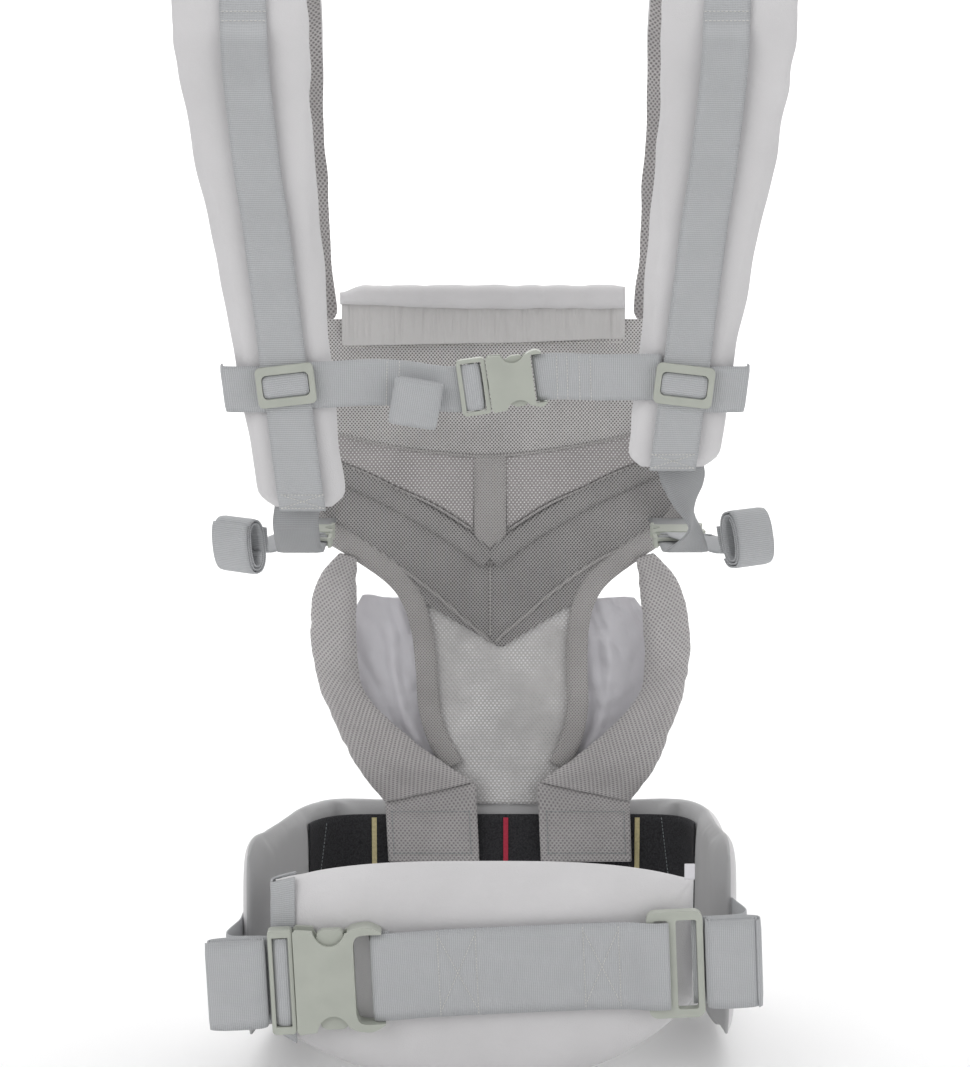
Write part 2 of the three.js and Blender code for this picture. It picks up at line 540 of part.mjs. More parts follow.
const smallBuckle = buckleSizes({
  web: STRAP_WEB, rim: 2.8, thick: 8, frame: 16, body: 24, horn: 6, curve: 0.4, depth: 5.2,
  bar: [2, 4.4, 1.3, 2.8],
});
const CHEST_BUCKLE_X = 2;
const makeChest = () => {
  const group = new THREE.Group();
  const y = (CHEST_WEB_Y[0] + CHEST_WEB_Y[1]) / 2;
  group.position.set(CHEST_BUCKLE_X, y, CHEST_Z);
  group.rotation.y = THREE.MathUtils.degToRad(-CHEST_TILT);
  carrier.add(group);
  addBuckle("chest_buckle", smallBuckle, group);

  const inner = STRAP_X - STRAP_WEB / 2 - 4 + 2.5;
  const half = STRAP_WEB / 2;
  const tilt = Math.tan(THREE.MathUtils.degToRad(CHEST_TILT));
  // a run of webbing between a slider and the buckle, tilted with the buckle where it enters it
  const station = (x, side) => {
    const z = CHEST_Z + (x - CHEST_BUCKLE_X) * tilt;
    return pt(x - side * half * tilt, z + side * half);
  };
  const ribbon = (endX, frameX, sliderX, sliderZ) => {
    const outline = [station(endX, -1), station(frameX, -1), pt(sliderX, sliderZ - half),
      pt(sliderX, sliderZ + half), station(frameX, 1), station(endX, 1)];
    return frontPlate(endX < sliderX ? outline : outline.reverse(), ...CHEST_WEB_Y);
  };
  const plugX = CHEST_BUCKLE_X - smallBuckle.frame;
  const left = ribbon(CHEST_BUCKLE_X - 3.4, plugX - 4, -inner, CHEST_Z);
  addNode("chest_webbing_left", left, webbing);
  const socketX = CHEST_BUCKLE_X + smallBuckle.body + PLAY;
  const right = ribbon(socketX, CHEST_BUCKLE_X + smallBuckle.end + 4, inner, CHEST_Z + 4);
  addNode("chest_webbing_right", right, webbing);

  const roll = rollSolid(24, 11, STRAP_WEB);
  const rollNode = addNode("chest_roll", roll, webbing);
  rollNode.position.set(-36, CHEST_WEB_Y[0] - 5.5 - GAP, CHEST_Z - 8);
  rollNode.rotation.y = THREE.MathUtils.degToRad(8);
};

// ---------------------------------------------------------------- side fastenings
const SIDE_Z = 229;
const SIDE_Y = -10;
const SIDE_X = { left: -103, right: 112 };
const ROLL_LONG = 33;
const ROLL_THICK = 18;
const ROLL_TURN = THREE.MathUtils.degToRad(35); // how far the coil's axis turns from straight out
const ROLL_LEAN = { left: THREE.MathUtils.degToRad(12), right: THREE.MathUtils.degToRad(-22) };
const ROLL_RISE = { left: 5, right: 9 };
const makeSide = (side) => {
  const x = SIDE_X[side];
  const sign = Math.sign(x);
  const end = STRAP_END[side];
  // the buckle lies flat, its plug towards the wearer's back
  const buckle = new THREE.Group();
  buckle.position.set(x, SIDE_Y, SIDE_Z);
  buckle.setRotationFromMatrix(basis([0, 1, 0], [0, 0, -1], [-1, 0, 0]));
  carrier.add(buckle);
  addBuckle(`side_buckle_${side}`, smallBuckle, buckle);

  const half = STRAP_WEB / 2;
  const threaded = [pt(SIDE_Y - 3.4, SIDE_Z), pt(SIDE_Y - smallBuckle.frame - 2, SIDE_Z)];
  const up = threaded.concat(smooth([pt(SIDE_Y - smallBuckle.frame - 6, SIDE_Z), pt(-66, SIDE_Z + 2),
    pt(-88, SIDE_Z + 12), pt(-STRAP_MID, end - 7)], 8));
  addNode(`side_webbing_${side}`, sidePlate(band(up, -WEB / 2, WEB / 2), x - half, x + half), webbing);

  const socketY = SIDE_Y + smallBuckle.body + PLAY;
  const down = [pt(socketY, SIDE_Z), pt(socketY + 12, SIDE_Z), pt(FAR_Y - GAP, SIDE_Z - 6)];
  const panelWeb = sidePlate(band(down, -WEB / 2, WEB / 2), x - half, x + half);
  addNode(`panel_webbing_${side}`, panelWeb, webbing);

  // the spare end, rolled up and hanging beside the plug with its coil turned towards the back
  const roll = rollSolid(ROLL_LONG, ROLL_THICK, STRAP_WEB);
  const rollNode = addNode(`side_roll_${side}`, roll, webbing);
  const out = new THREE.Vector3(sign * Math.cos(ROLL_TURN), Math.sin(ROLL_TURN), 0);
  const lean = new THREE.Vector3(sign * Math.sin(ROLL_LEAN[side]), 0, Math.cos(ROLL_LEAN[side]));
  const across = new THREE.Vector3().crossVectors(lean, out).normalize();
  const long = new THREE.Vector3().crossVectors(out, across).normalize();
  rollNode.setRotationFromMatrix(new THREE.Matrix4().makeBasis(long, across, out));
  const away = half + 3 + STRAP_WEB / 2 * Math.cos(ROLL_TURN) + ROLL_THICK / 2;
  rollNode.position.set(x + sign * away, SIDE_Y - 46, SIDE_Z + ROLL_RISE[side]);
};

// A press stud on the right strap, just above where its webbing ends.
const makeSnap = () => {
  const z = WEB_TOP + 9 + 7;
  const angle = Math.asin((z - STRAP_STRAIGHT) / (STRAP_APEX - STRAP_STRAIGHT));
  const stud = new THREE.CylinderGeometry(5, 5, 2.4, 20);
  const node = addNode("strap_snap", toSolid(stud), snapMetal);
  const out = padFace + GAP + 1.9;
  const normal = new THREE.Vector3(0, -Math.cos(angle) * (STRAP_APEX - STRAP_STRAIGHT),
    Math.sin(angle) * STRAP_MID).normalize();
  node.position.set(webX(z) + 8, -Math.cos(angle) * STRAP_MID, z).addScaledVector(normal, out);
  node.quaternion.setFromUnitVectors(new THREE.Vector3(0, 1, 0), normal);
};

makePanel();
makeBolster("left");
makeBolster("right");
makeHood();
makeBelt();
makeLumbar();
makeWaist();
makeStrap("left");
makeStrap("right");
makeSlider("left");
makeSlider("right");
makeSnap();
makeChest();
makeSide("left");
makeSide("right");

export default carrier;
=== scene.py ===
import json
import math
import bpy
import bmesh
import numpy as np
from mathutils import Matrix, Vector, noise
from mathutils.bvhtree import BVHTree


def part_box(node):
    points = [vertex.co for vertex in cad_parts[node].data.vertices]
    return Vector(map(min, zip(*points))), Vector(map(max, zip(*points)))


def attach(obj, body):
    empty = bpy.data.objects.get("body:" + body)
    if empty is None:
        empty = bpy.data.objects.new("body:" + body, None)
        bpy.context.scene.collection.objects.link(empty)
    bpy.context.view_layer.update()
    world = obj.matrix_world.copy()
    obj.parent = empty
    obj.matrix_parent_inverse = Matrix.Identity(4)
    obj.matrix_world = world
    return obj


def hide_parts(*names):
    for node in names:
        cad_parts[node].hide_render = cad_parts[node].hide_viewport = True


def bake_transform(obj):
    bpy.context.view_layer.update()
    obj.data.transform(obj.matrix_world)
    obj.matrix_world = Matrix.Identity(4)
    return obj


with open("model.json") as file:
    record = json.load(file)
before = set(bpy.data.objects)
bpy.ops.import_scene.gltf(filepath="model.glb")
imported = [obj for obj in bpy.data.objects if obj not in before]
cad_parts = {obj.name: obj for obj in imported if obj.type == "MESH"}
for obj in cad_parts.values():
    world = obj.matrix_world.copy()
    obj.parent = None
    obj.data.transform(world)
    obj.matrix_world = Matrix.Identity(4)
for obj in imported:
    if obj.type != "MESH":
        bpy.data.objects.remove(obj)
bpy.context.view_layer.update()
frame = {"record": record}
mm = 0.001

# Sizes that several pieces share, in millimetres, as the frame has them.
carrier = {
    "webThick": 1.5, "strapWeb": 25.0, "waistWeb": 50.0,
    "farShift": 14.0, "hoodZ": 363.0, "beltTop": 44.0,
    "strapMid": 102.0, "strapThick": 16.0, "strapStraight": 440.0, "strapApex": 572.0,
    "strapFarEnd": 348.0, "strapX": 106.5, "strapLean": 6.6, "chestZ": 331.0, "webLift": 4.0,
}


def lerp(a, b, t):
    return a + (b - a) * t


def clamp01(t):
    return max(0.0, min(1.0, t))


def smoothStep(a, b, x):
    t = clamp01((x - a) / (b - a))
    return t * t * (3 - 2 * t)


def drift(z):
    # sideways drift of the far panel's middle line, in mm, at height z in mm
    c = carrier
    return c["farShift"] * (c["hoodZ"] - z) / (c["hoodZ"] - c["beltTop"])


def wobble(x, y, z, scale=40.0):
    return noise.noise(Vector((x / scale, y / scale, z / scale)))


# ---- materials -------------------------------------------------------------

def newMaterial(name):
    mat = bpy.data.materials.new(name)
    mat.use_nodes = True
    nodes = mat.node_tree.nodes
    shader = nodes["Principled BSDF"]
    return mat, nodes, mat.node_tree.links, shader


def mathNode(nodes, links, operation, a, b=None, c=None):
    node = nodes.new("ShaderNodeMath")
    node.operation = operation
    for slot, value in zip(node.inputs, (a, b, c)):
        if value is None:
            continue
        if isinstance(value, (int, float)):
            slot.default_value = value
        else:
            links.new(value, slot)
    return node.outputs[0]


def setInputs(node, values):
    for name, value in values.items():
        node.inputs[name].default_value = value


def addTexture(nodes, links, kind, source, **values):
    node = nodes.new(f"ShaderNodeTex{kind}")
    setInputs(node, values)
    links.new(source, node.inputs["Vector"])
    return node


def mapRange(nodes, links, source, limits):
    # limits holds From Min, From Max, To Min and To Max, or the ones that aren't 0 and 1
    node = nodes.new("ShaderNodeMapRange")
    setInputs(node, limits)
    links.new(source, node.inputs["Value"])
    return node.outputs["Result"]


def blotches(nodes, links, source, low, high, scale):
    # soft change of colour over the surface
    tex = addTexture(nodes, links, "Noise", source, Scale=scale, Detail=3.0)
    ramp = nodes.new("ShaderNodeValToRGB")
    ramp.color_ramp.elements[0].position = 0.3
    ramp.color_ramp.elements[1].position = 0.7
    ramp.color_ramp.elements[0].color = (*low, 1)
    ramp.color_ramp.elements[1].color = (*high, 1)
    links.new(tex.outputs["Fac"], ramp.inputs["Fac"])
    return ramp.outputs["Color"]


def addBump(nodes, links, shader, height, strength, distance):
    bump = nodes.new("ShaderNodeBump")
    setInputs(bump, {"Strength": strength, "Distance": distance})
    links.new(height, bump.inputs["Height"])
    links.new(bump.outputs["Normal"], shader.inputs["Normal"])


def shade(colour, factor):
    return tuple(channel * factor for channel in colour)


def makeJersey(name, colour, knit=0.00075, creases=0.35):
    mat, nodes, links, shader = newMaterial(name)
    coords = nodes.new("ShaderNodeTexCoord").outputs["Object"]
    colourOut = blotches(nodes, links, coords, shade(colour, 0.94), shade(colour, 1.04), 16.0)
    links.new(colourOut, shader.inputs["Base Color"])
    setInputs(shader, {"Roughness": 0.92, "Sheen Weight": 0.25, "Sheen Roughness": 0.6,
                       "Specular IOR Level": 0.2})
    cells = addTexture(nodes, links, "Voronoi", coords, Scale=1 / knit)
    folds = addTexture(nodes, links, "Noise", coords, Scale=42.0, Detail=4.0)
    fine = mathNode(nodes, links, "MULTIPLY", cells.outputs["Distance"], 0.10)
    height = mathNode(nodes, links, "MULTIPLY_ADD", folds.outputs["Fac"], creases, fine)
    addBump(nodes, links, shader, height, 0.5, 0.002)
    return mat


def makeSpacerMesh(name, cloth, hole, pitch, rowStep, holeSize, useUv=False, softness=0.12, patch=0.0,
                   paintedShadeBelow=None):
    # holes in a staggered grid, with raised yarn between them
    mat, nodes, links, shader = newMaterial(name)
    if useUv:
        coords = nodes.new("ShaderNodeUVMap").outputs["UV"]
    else:
        coords = nodes.new("ShaderNodeTexCoord").outputs["Object"]
    split = nodes.new("ShaderNodeSeparateXYZ")
    links.new(coords, split.inputs[0])
    across = split.outputs[0]
    along = split.outputs[1] if useUv else split.outputs[2]
    u = mathNode(nodes, links, "DIVIDE", across, pitch)
    v = mathNode(nodes, links, "DIVIDE", along, rowStep * 2)

    def latticeDistance(shift):
        fu = mathNode(nodes, links, "FRACT", mathNode(nodes, links, "ADD", u, shift))
        fv = mathNode(nodes, links, "FRACT", mathNode(nodes, links, "ADD", v, shift))
        du = mathNode(nodes, links, "SUBTRACT", fu, 0.5)
        dv = mathNode(nodes, links, "SUBTRACT", fv, 0.5)
        dv = mathNode(nodes, links, "MULTIPLY", dv, 2 * rowStep / pitch)
        square = mathNode(nodes, links, "MULTIPLY", du, du)
        return mathNode(nodes, links, "SQRT", mathNode(nodes, links, "MULTIPLY_ADD", dv, dv, square))

    nearest = mathNode(nodes, links, "MINIMUM", latticeDistance(0.0), latticeDistance(0.5))
    mask = mapRange(nodes, links, nearest,
                    {"From Min": holeSize - softness, "From Max": holeSize + softness})
    clothColour = blotches(nodes, links, coords, shade(cloth, 0.90), shade(cloth, 1.08), 28.0)
    mix = nodes.new("ShaderNodeMix")
    mix.data_type = "RGBA"
    if patch:
        links.new(blotches(nodes, links, coords, shade(hole, 1 - patch), hole, 45.0), mix.inputs["A"])
    else:
        mix.inputs["A"].default_value = (*hole, 1)
    links.new(clothColour, mix.inputs["B"])
    links.new(mask, mix.inputs["Factor"])
    colourOut = mix.outputs["Result"]
    if paintedShadeBelow:
        # painted shade: below this height the colour is darkened by the factor, standing in for the shade on
        # the lower panel
        high, low, factor = paintedShadeBelow
        shadeRamp = mapRange(nodes, links, split.outputs[2],
                        {"From Min": low, "From Max": high, "To Min": factor})
        shadedColour = nodes.new("ShaderNodeVectorMath")
        shadedColour.operation = "SCALE"
        links.new(colourOut, shadedColour.inputs[0])
        links.new(shadeRamp, shadedColour.inputs["Scale"])
        colourOut = shadedColour.outputs["Vector"]
    links.new(colourOut, shader.inputs["Base Color"])
    setInputs(shader, {"Roughness": 0.85, "Sheen Weight": 0.2, "Specular IOR Level": 0.25})
    addBump(nodes, links, shader, mask, 0.6, 0.0006)
    return mat


def makeWebbing(name, colour, rib=0.0011, yarn=0.0009):
    # ribs run across the tape; the UV map is in metres, u across and v along
    mat, nodes, links, shader = newMaterial(name)
    uv = nodes.new("ShaderNodeUVMap").outputs["UV"]
    split = nodes.new("ShaderNodeSeparateXYZ")
    links.new(uv, split.inputs[0])
    shiver = addTexture(nodes, links, "Noise", uv, Scale=220.0)
    along = mathNode(nodes, links, "MULTIPLY_ADD", shiver.outputs["Fac"], 0.0007, split.outputs[1])
    turns = [mathNode(nodes, links, "MULTIPLY", value, 2 * math.pi / length)
             for value, length in ((along, rib), (split.outputs[0], yarn))]
    wave, twill = [mathNode(nodes, links, "SINE", turn) for turn in turns]
    weave = mathNode(nodes, links, "MULTIPLY_ADD", twill, 0.35, wave)
    height = mathNode(nodes, links, "MULTIPLY_ADD", weave, 0.4, 0.5)
    # painted shade and highlight: the colour follows the weave's height, darker in the grooves between the
    # ribs, lighter on their tops
    grooveShade = mapRange(nodes, links, height, {"From Min": -0.1, "From Max": 1.1})
    light = blotches(nodes, links, uv, shade(colour, 1.04), shade(colour, 1.15), 35.0)
    mix = nodes.new("ShaderNodeMix")
    mix.data_type = "RGBA"
    mix.inputs["A"].default_value = (*shade(colour, 0.78), 1)
    links.new(light, mix.inputs["B"])
    links.new(grooveShade, mix.inputs["Factor"])
    links.new(mix.outputs["Result"], shader.inputs["Base Color"])
    setInputs(shader, {"Roughness": 0.7, "Sheen Weight": 0.15, "Specular IOR Level": 0.35})
    addBump(nodes, links, shader, height, 0.5, 0.0004)
    return mat


def makePlastic(name, colour):
    mat, nodes, links, shader = newMaterial(name)
    coords = nodes.new("ShaderNodeTexCoord").outputs["Object"]
    links.new(blotches(nodes, links, coords, shade(colour, 0.96), shade(colour, 1.05), 70.0),
              shader.inputs["Base Color"])
    grain = addTexture(nodes, links, "Noise", coords, Scale=2600.0)
    rough = mapRange(nodes, links, grain.outputs["Fac"], {"To Min": 0.36, "To Max": 0.54})
    links.new(rough, shader.inputs["Roughness"])
    shader.inputs["Specular IOR Level"].default_value = 0.45
    addBump(nodes, links, shader, grain.outputs["Fac"], 0.15, 0.0003)
    return mat


def makeHookTape(name):
    mat, nodes, links, shader = newMaterial(name)
    coords = nodes.new("ShaderNodeTexCoord").outputs["Object"]
    hooks = addTexture(nodes, links, "Voronoi", coords, Scale=900.0)
    ramp = nodes.new("ShaderNodeValToRGB")
    ramp.color_ramp.elements[0].color = (0.045, 0.045, 0.05, 1)
    ramp.color_ramp.elements[1].color = (0.010, 0.010, 0.012, 1)
    links.new(hooks.outputs["Distance"], ramp.inputs["Fac"])
    links.new(ramp.outputs["Color"], shader.inputs["Base Color"])
    shader.inputs["Roughness"].default_value = 0.88
    addBump(nodes, links, shader, hooks.outputs["Distance"], 0.7, 0.0006)
    return mat


def makeThread(name, colour):
    mat, nodes, links, shader = newMaterial(name)
    coords = nodes.new("ShaderNodeTexCoord").outputs["Object"]
    links.new(blotches(nodes, links, coords, shade(colour, 0.85), shade(colour, 1.1), 600.0),
              shader.inputs["Base Color"])
    shader.inputs["Roughness"].default_value = 0.7
    return mat


def makeMetal(name, colour):
    mat, nodes, links, shader = newMaterial(name)
    coords = nodes.new("ShaderNodeTexCoord").outputs["Object"]
    links.new(blotches(nodes, links, coords, shade(colour, 0.9), colour, 300.0),
              shader.inputs["Base Color"])
    setInputs(shader, {"Metallic": 0.95, "Roughness": 0.32})
    return mat


colours = {
    "jersey": (0.67, 0.66, 0.67), "liner": (0.70, 0.69, 0.725),
    "hood": (0.57, 0.56, 0.555), "webbing": (0.49, 0.50, 0.515), "plastic": (0.44, 0.46, 0.41),
}
looks = {
    "jersey": makeJersey("softJersey", colours["jersey"]),
    "liner": makeJersey("linerJersey", colours["liner"], creases=0.7),
    # painted shade: a darker copy of the jersey for the belt's inner face, which is in shadow
    "beltInnerShade": makeJersey("beltInnerShade", (0.43, 0.43, 0.435)),
    "hoodCloth": makeJersey("hoodCloth", colours["hood"], creases=0.9),
    "webbing": makeWebbing("tapeWebbing", colours["webbing"]),
    # painted shade: a darker copy of the tape webbing for the side tapes, which lie in shadow
    "shadedWebbing": makeWebbing("webbingInShade", shade(colours["webbing"], 0.7)),
    "plastic": makePlastic("mouldedPlastic", colours["plastic"]),
    "hookTape": makeHookTape("hookTape"),
    "redThread": makeThread("redTape", (0.52, 0.03, 0.07)),
    "creamThread": makeThread("creamTape", (0.66, 0.58, 0.32)),
    "whiteThread": makeThread("paleThread", (0.72, 0.71, 0.68)),
    "greyThread": makeThread("greyThread", (0.33, 0.37, 0.38)),
    "metal": makeMetal("snapMetal", (0.55, 0.55, 0.53)),
}
# cloth and hole colours, then in metres the pitch and row step, and the hole as a share of the pitch
spacerMeshes = {
    # panelMesh carries painted shade: its colour darkens to 0.66 between 0.262 and 0.256 m and stays darker
    # below
    "mesh": ("panelMesh", (0.64, 0.625, 0.62), (0.14, 0.13, 0.13), 0.0021, 0.0012, 0.24,
             {"paintedShadeBelow": (0.262, 0.256, 0.66)}),
    "insetMesh": ("insetMesh", (0.34, 0.32, 0.32), (0.93, 0.93, 0.93), 0.0023, 0.0015, 0.16, {}),
    "seatMesh": ("seatMesh", (0.58, 0.565, 0.56), (0.97, 0.97, 0.98), 0.0025, 0.0016, 0.22,
                 {"patch": 0.55}),
    "channelMesh": ("channelMesh", (0.47, 0.455, 0.45), (0.20, 0.19, 0.19), 0.0019, 0.0011, 0.20, {}),
    "padMesh": ("padMesh", (0.56, 0.54, 0.54), (0.30, 0.285, 0.29), 0.0026, 0.0016, 0.24, {"useUv": True}),
    "underMesh": ("underMesh", (0.50, 0.48, 0.48), (0.20, 0.19, 0.19), 0.0028, 0.0017, 0.26,
                  {"useUv": True}),
}
for look, (name, *values, extra) in spacerMeshes.items():
    looks[look] = makeSpacerMesh(name, *values, **extra)
print("materials ready")


# ---- mesh tools ------------------------------------------------------------

def addObject(name, verts, faces, mats, uvs=None, indices=None):
    mesh = bpy.data.meshes.new(name)
    mesh.from_pydata([tuple(p) for p in verts], [], faces)
    for mat in mats:
        mesh.materials.append(looks[mat])
    if indices is not None:
        mesh.polygons.foreach_set("material_index", indices)
    if uvs is not None:
        layer = mesh.uv_layers.new(name="UVMap")
        loops = np.zeros(len(mesh.loops), dtype=np.int32)
        mesh.loops.foreach_get("vertex_index", loops)
        layer.data.foreach_set("uv", np.asarray(uvs, dtype=np.float32)[loops].ravel())
    mesh.polygons.foreach_set("use_smooth", [True] * len(mesh.polygons))
    mesh.update()
    obj = bpy.data.objects.new(name, mesh)
    bpy.context.collection.objects.link(obj)
    return obj


def normalise(a):
    return a / np.maximum(np.linalg.norm(a, axis=-1, keepdims=True), 1e-12)


def shell(name, middle, half, mats, facing=(0, -1, 0), edge=0.35):
    # A closed cloth shell about a middle surface: middle is rows x columns of points in mm, half its
    # half-thickness in mm. mats names the facing side and the other side.
    middle = np.asarray(middle, dtype=float)
    half = np.maximum(np.asarray(half, dtype=float), edge)
    rows, cols = middle.shape[:2]
    du = np.gradient(middle, axis=1)
    dv = np.gradient(middle, axis=0)
    normal = normalise(np.cross(du, dv))
    if np.sum(normal.reshape(-1, 3) @ np.asarray(facing, dtype=float)) < 0 and any(facing):
        flipped = True
        normal = -normal
    else:
        flipped = False
    front = (middle + normal * half[..., None]).reshape(-1, 3) * mm
    back = (middle - normal * half[..., None]).reshape(-1, 3) * mm
    along = np.cumsum(np.linalg.norm(np.diff(middle, axis=0, prepend=middle[:1]), axis=2), axis=0)
    across = np.cumsum(np.linalg.norm(np.diff(middle, axis=1, prepend=middle[:, :1]), axis=2), axis=1)
    across = across - across[:, cols // 2][:, None]
    meanAlong = np.broadcast_to(along.mean(axis=1)[:, None], along.shape)
    uvs = np.stack([across, meanAlong], axis=2).reshape(-1, 2) * mm
    count = rows * cols
    faces = []
    indices = []

    def quad(a, b, c, d, index):
        faces.append((a, b, c, d) if not flipped else (d, c, b, a))
        indices.append(index)

    for i in range(rows - 1):
        for j in range(cols - 1):
            a = i * cols + j
            quad(a, a + 1, a + cols + 1, a + cols, 0)
            b = a + count
            quad(b + cols, b + cols + 1, b + 1, b, len(mats) - 1)
    for j in range(cols - 1):
        quad(j + 1, j, j + count, j + 1 + count, 0)
        k = (rows - 1) * cols + j
        quad(k, k + 1, k + 1 + count, k + count, 0)
    for i in range(rows - 1):
        a = i * cols
        quad(a, a + cols, a + cols + count, a + count, 0)
        b = a + cols - 1
        quad(b + cols, b, b + count, b + cols + count, 0)
    verts = np.concatenate([front, back])
    return addObject(name, verts, faces, mats, np.concatenate([uvs, uvs]), indices)


def splinePoints(points, count):
    # a smooth line through the points, evenly spaced
    pts = np.asarray(points, dtype=float)
    padded = np.vstack([2 * pts[0] - pts[1], pts, 2 * pts[-1] - pts[-2]])
    dense = []
    for k in range(1, len(padded) - 2):
        p0, p1, p2, p3 = padded[k - 1:k + 3]
        for t in np.linspace(0, 1, 16, endpoint=False):
            dense.append(0.5 * ((2 * p1) + (p2 - p0) * t + (2 * p0 - 5 * p1 + 4 * p2 - p3) * t * t
                                + (3 * p1 - p0 - 3 * p2 + p3) * t ** 3))
    dense.append(padded[-2])
    dense = np.asarray(dense)
    steps = np.concatenate([[0], np.cumsum(np.linalg.norm(np.diff(dense, axis=0), axis=1))])
    wanted = np.linspace(0, steps[-1], count)
    return np.stack([np.interp(wanted, steps, dense[:, k]) for k in range(dense.shape[1])], axis=1)


def tape(name, path, across, width, mat="webbing", thick=None, cup=0.0, facing=(0, -1, 0), step=2.5):
    # woven tape along a path in mm; across is the width direction, one or one per point of the path
    path = np.asarray(path, dtype=float)
    length = np.sum(np.linalg.norm(np.diff(path, axis=0), axis=1))
    count = max(8, int(length / step))
    across = np.asarray(across, dtype=float)
    if across.ndim == 1:
        across = np.broadcast_to(across, path.shape)
    both = splinePoints(np.hstack([path, across * 20]), count)
    line = both[:, :3]
    side = normalise(both[:, 3:])
    lanes = np.linspace(-0.5, 0.5, 9)
    tangent = normalise(np.gradient(line, axis=0))
    lift = normalise(np.cross(side, tangent))
    middle = line[:, None] + side[:, None] * (lanes * width)[None, :, None]
    middle = middle + lift[:, None] * (cup * (lanes ** 2) * 4)[None, :, None]
    thickness = (thick or carrier["webThick"]) / 2
    taper = np.where(np.abs(lanes) > 0.49, 0.45, 1.0)
    half = np.broadcast_to(thickness * taper[None, :], middle.shape[:2])
    return shell(name, middle, half, [mat], facing=facing, edge=0.25)


def rope(name, path, radius, mat, step=2.0, sides=8):
    # a thin round roll of cloth along a path in mm
    path = np.asarray(path, dtype=float)
    length = np.sum(np.linalg.norm(np.diff(path, axis=0), axis=1))
    line = splinePoints(path, max(6, int(length / step)))
    tangent = normalise(np.gradient(line, axis=0))
    reference = np.where(np.abs(tangent[:, 1:2]) > 0.9, np.array([[1.0, 0, 0]]), np.array([[0, 1.0, 0]]))
    first = normalise(np.cross(tangent, reference))
    second = np.cross(tangent, first)
    verts = []
    uvs = []
    total = len(line)
    for i in range(total):
        end = min(i, total - 1 - i)
        r = radius * (0.55 if end == 0 else 1.0)
        for k in range(sides):
            a = 2 * math.pi * k / sides
            verts.append((line[i] + first[i] * math.cos(a) * r + second[i] * math.sin(a) * r) * mm)
            uvs.append((k / sides * 2 * math.pi * radius * mm, i * step * mm))
    faces = []
    for i in range(total - 1):
        for k in range(sides):
            a, b = i * sides + k, i * sides + (k + 1) % sides
            faces.append((a, b, b + sides, a + sides))
    faces += [tuple(range(sides))[::-1], tuple(range((total - 1) * sides, total * sides))]
    obj = addObject(name, verts, faces, [mat], uvs=np.asarray(uvs))
    cleanNormals(obj)
    return obj


def cleanNormals(obj):
    bm = bmesh.new()
    bm.from_mesh(obj.data)
    bmesh.ops.remove_doubles(bm, verts=bm.verts, dist=1e-6)
    bmesh.ops.recalc_face_normals(bm, faces=bm.faces)
    bm.to_mesh(obj.data)
    bm.free()


def applyModifiers(obj):
    depsgraph = bpy.context.evaluated_depsgraph_get()
    depsgraph.update()
    mesh = bpy.data.meshes.new_from_object(obj.evaluated_get(depsgraph), depsgraph=depsgraph)
    obj.modifiers.clear()
    old = obj.data
    obj.data = mesh
    mesh.name = obj.name
    bpy.data.meshes.remove(old)
    return obj


def subdivide(obj, levels=1):
    mod = obj.modifiers.new("Subdivision", "SUBSURF")
    mod.levels = levels
    mod.render_levels = levels
    return applyModifiers(obj)


def puff(obj, pressure, cap, frames):
    # cloth simulation that fills the pad; no point may move further than the cap, in mm
    start = np.zeros(len(obj.data.vertices) * 3)
    obj.data.vertices.foreach_get("co", start)
    start = start.reshape(-1, 3)
    cloth = obj.modifiers.new("Cloth", "CLOTH")
    settings = cloth.settings
    settings.quality = 5
    settings.mass = 0.25
    settings.use_pressure = True
    settings.uniform_pressure_force = pressure
    settings.effector_weights.gravity = 0
    settings.tension_stiffness = 12
    settings.compression_stiffness = 8
    settings.shear_stiffness = 4
    settings.bending_stiffness = 0.35
    cloth.collision_settings.use_collision = False
    cloth.point_cache.frame_start = 1
    cloth.point_cache.frame_end = frames
    scene = bpy.context.scene
    for step in range(1, frames + 1):
        scene.frame_set(step)
    depsgraph = bpy.context.evaluated_depsgraph_get()
    moved = np.zeros(len(obj.data.vertices) * 3)
    obj.evaluated_get(depsgraph).data.vertices.foreach_get("co", moved)
    moved = moved.reshape(-1, 3)
    obj.modifiers.clear()
    scene.frame_set(1)
    shift = np.nan_to_num(moved - start)
    size = np.linalg.norm(shift, axis=1, keepdims=True)
    limit = cap * mm
    shift *= limit * np.tanh(size / limit) / np.maximum(size, 1e-9)
    obj.data.vertices.foreach_set("co", (start + shift).ravel())
    obj.data.update()
    return subdivide(obj)


def layOn(obj, start, end, count=24, lift=0.25, reach=60.0):
    # a line in mm moved towards +Y until it lies on the object; points that miss it are left out
    tree = BVHTree.FromPolygons([v.co.copy() for v in obj.data.vertices],
                                [list(p.vertices) for p in obj.data.polygons])
    direction = Vector((0, 1, 0))
    laid = []
    for i in range(count):
        p = tuple(lerp(a, b, i / (count - 1)) for a, b in zip(start, end))
        hit = tree.ray_cast(Vector(p) * mm - direction * reach * mm, direction, 3 * reach * mm)[0]
        if hit is not None:
            laid.append(tuple((hit - direction * lift * mm) / mm))
    return laid


# ---- stitches: one tree of geometry nodes, used by every seam ----------------

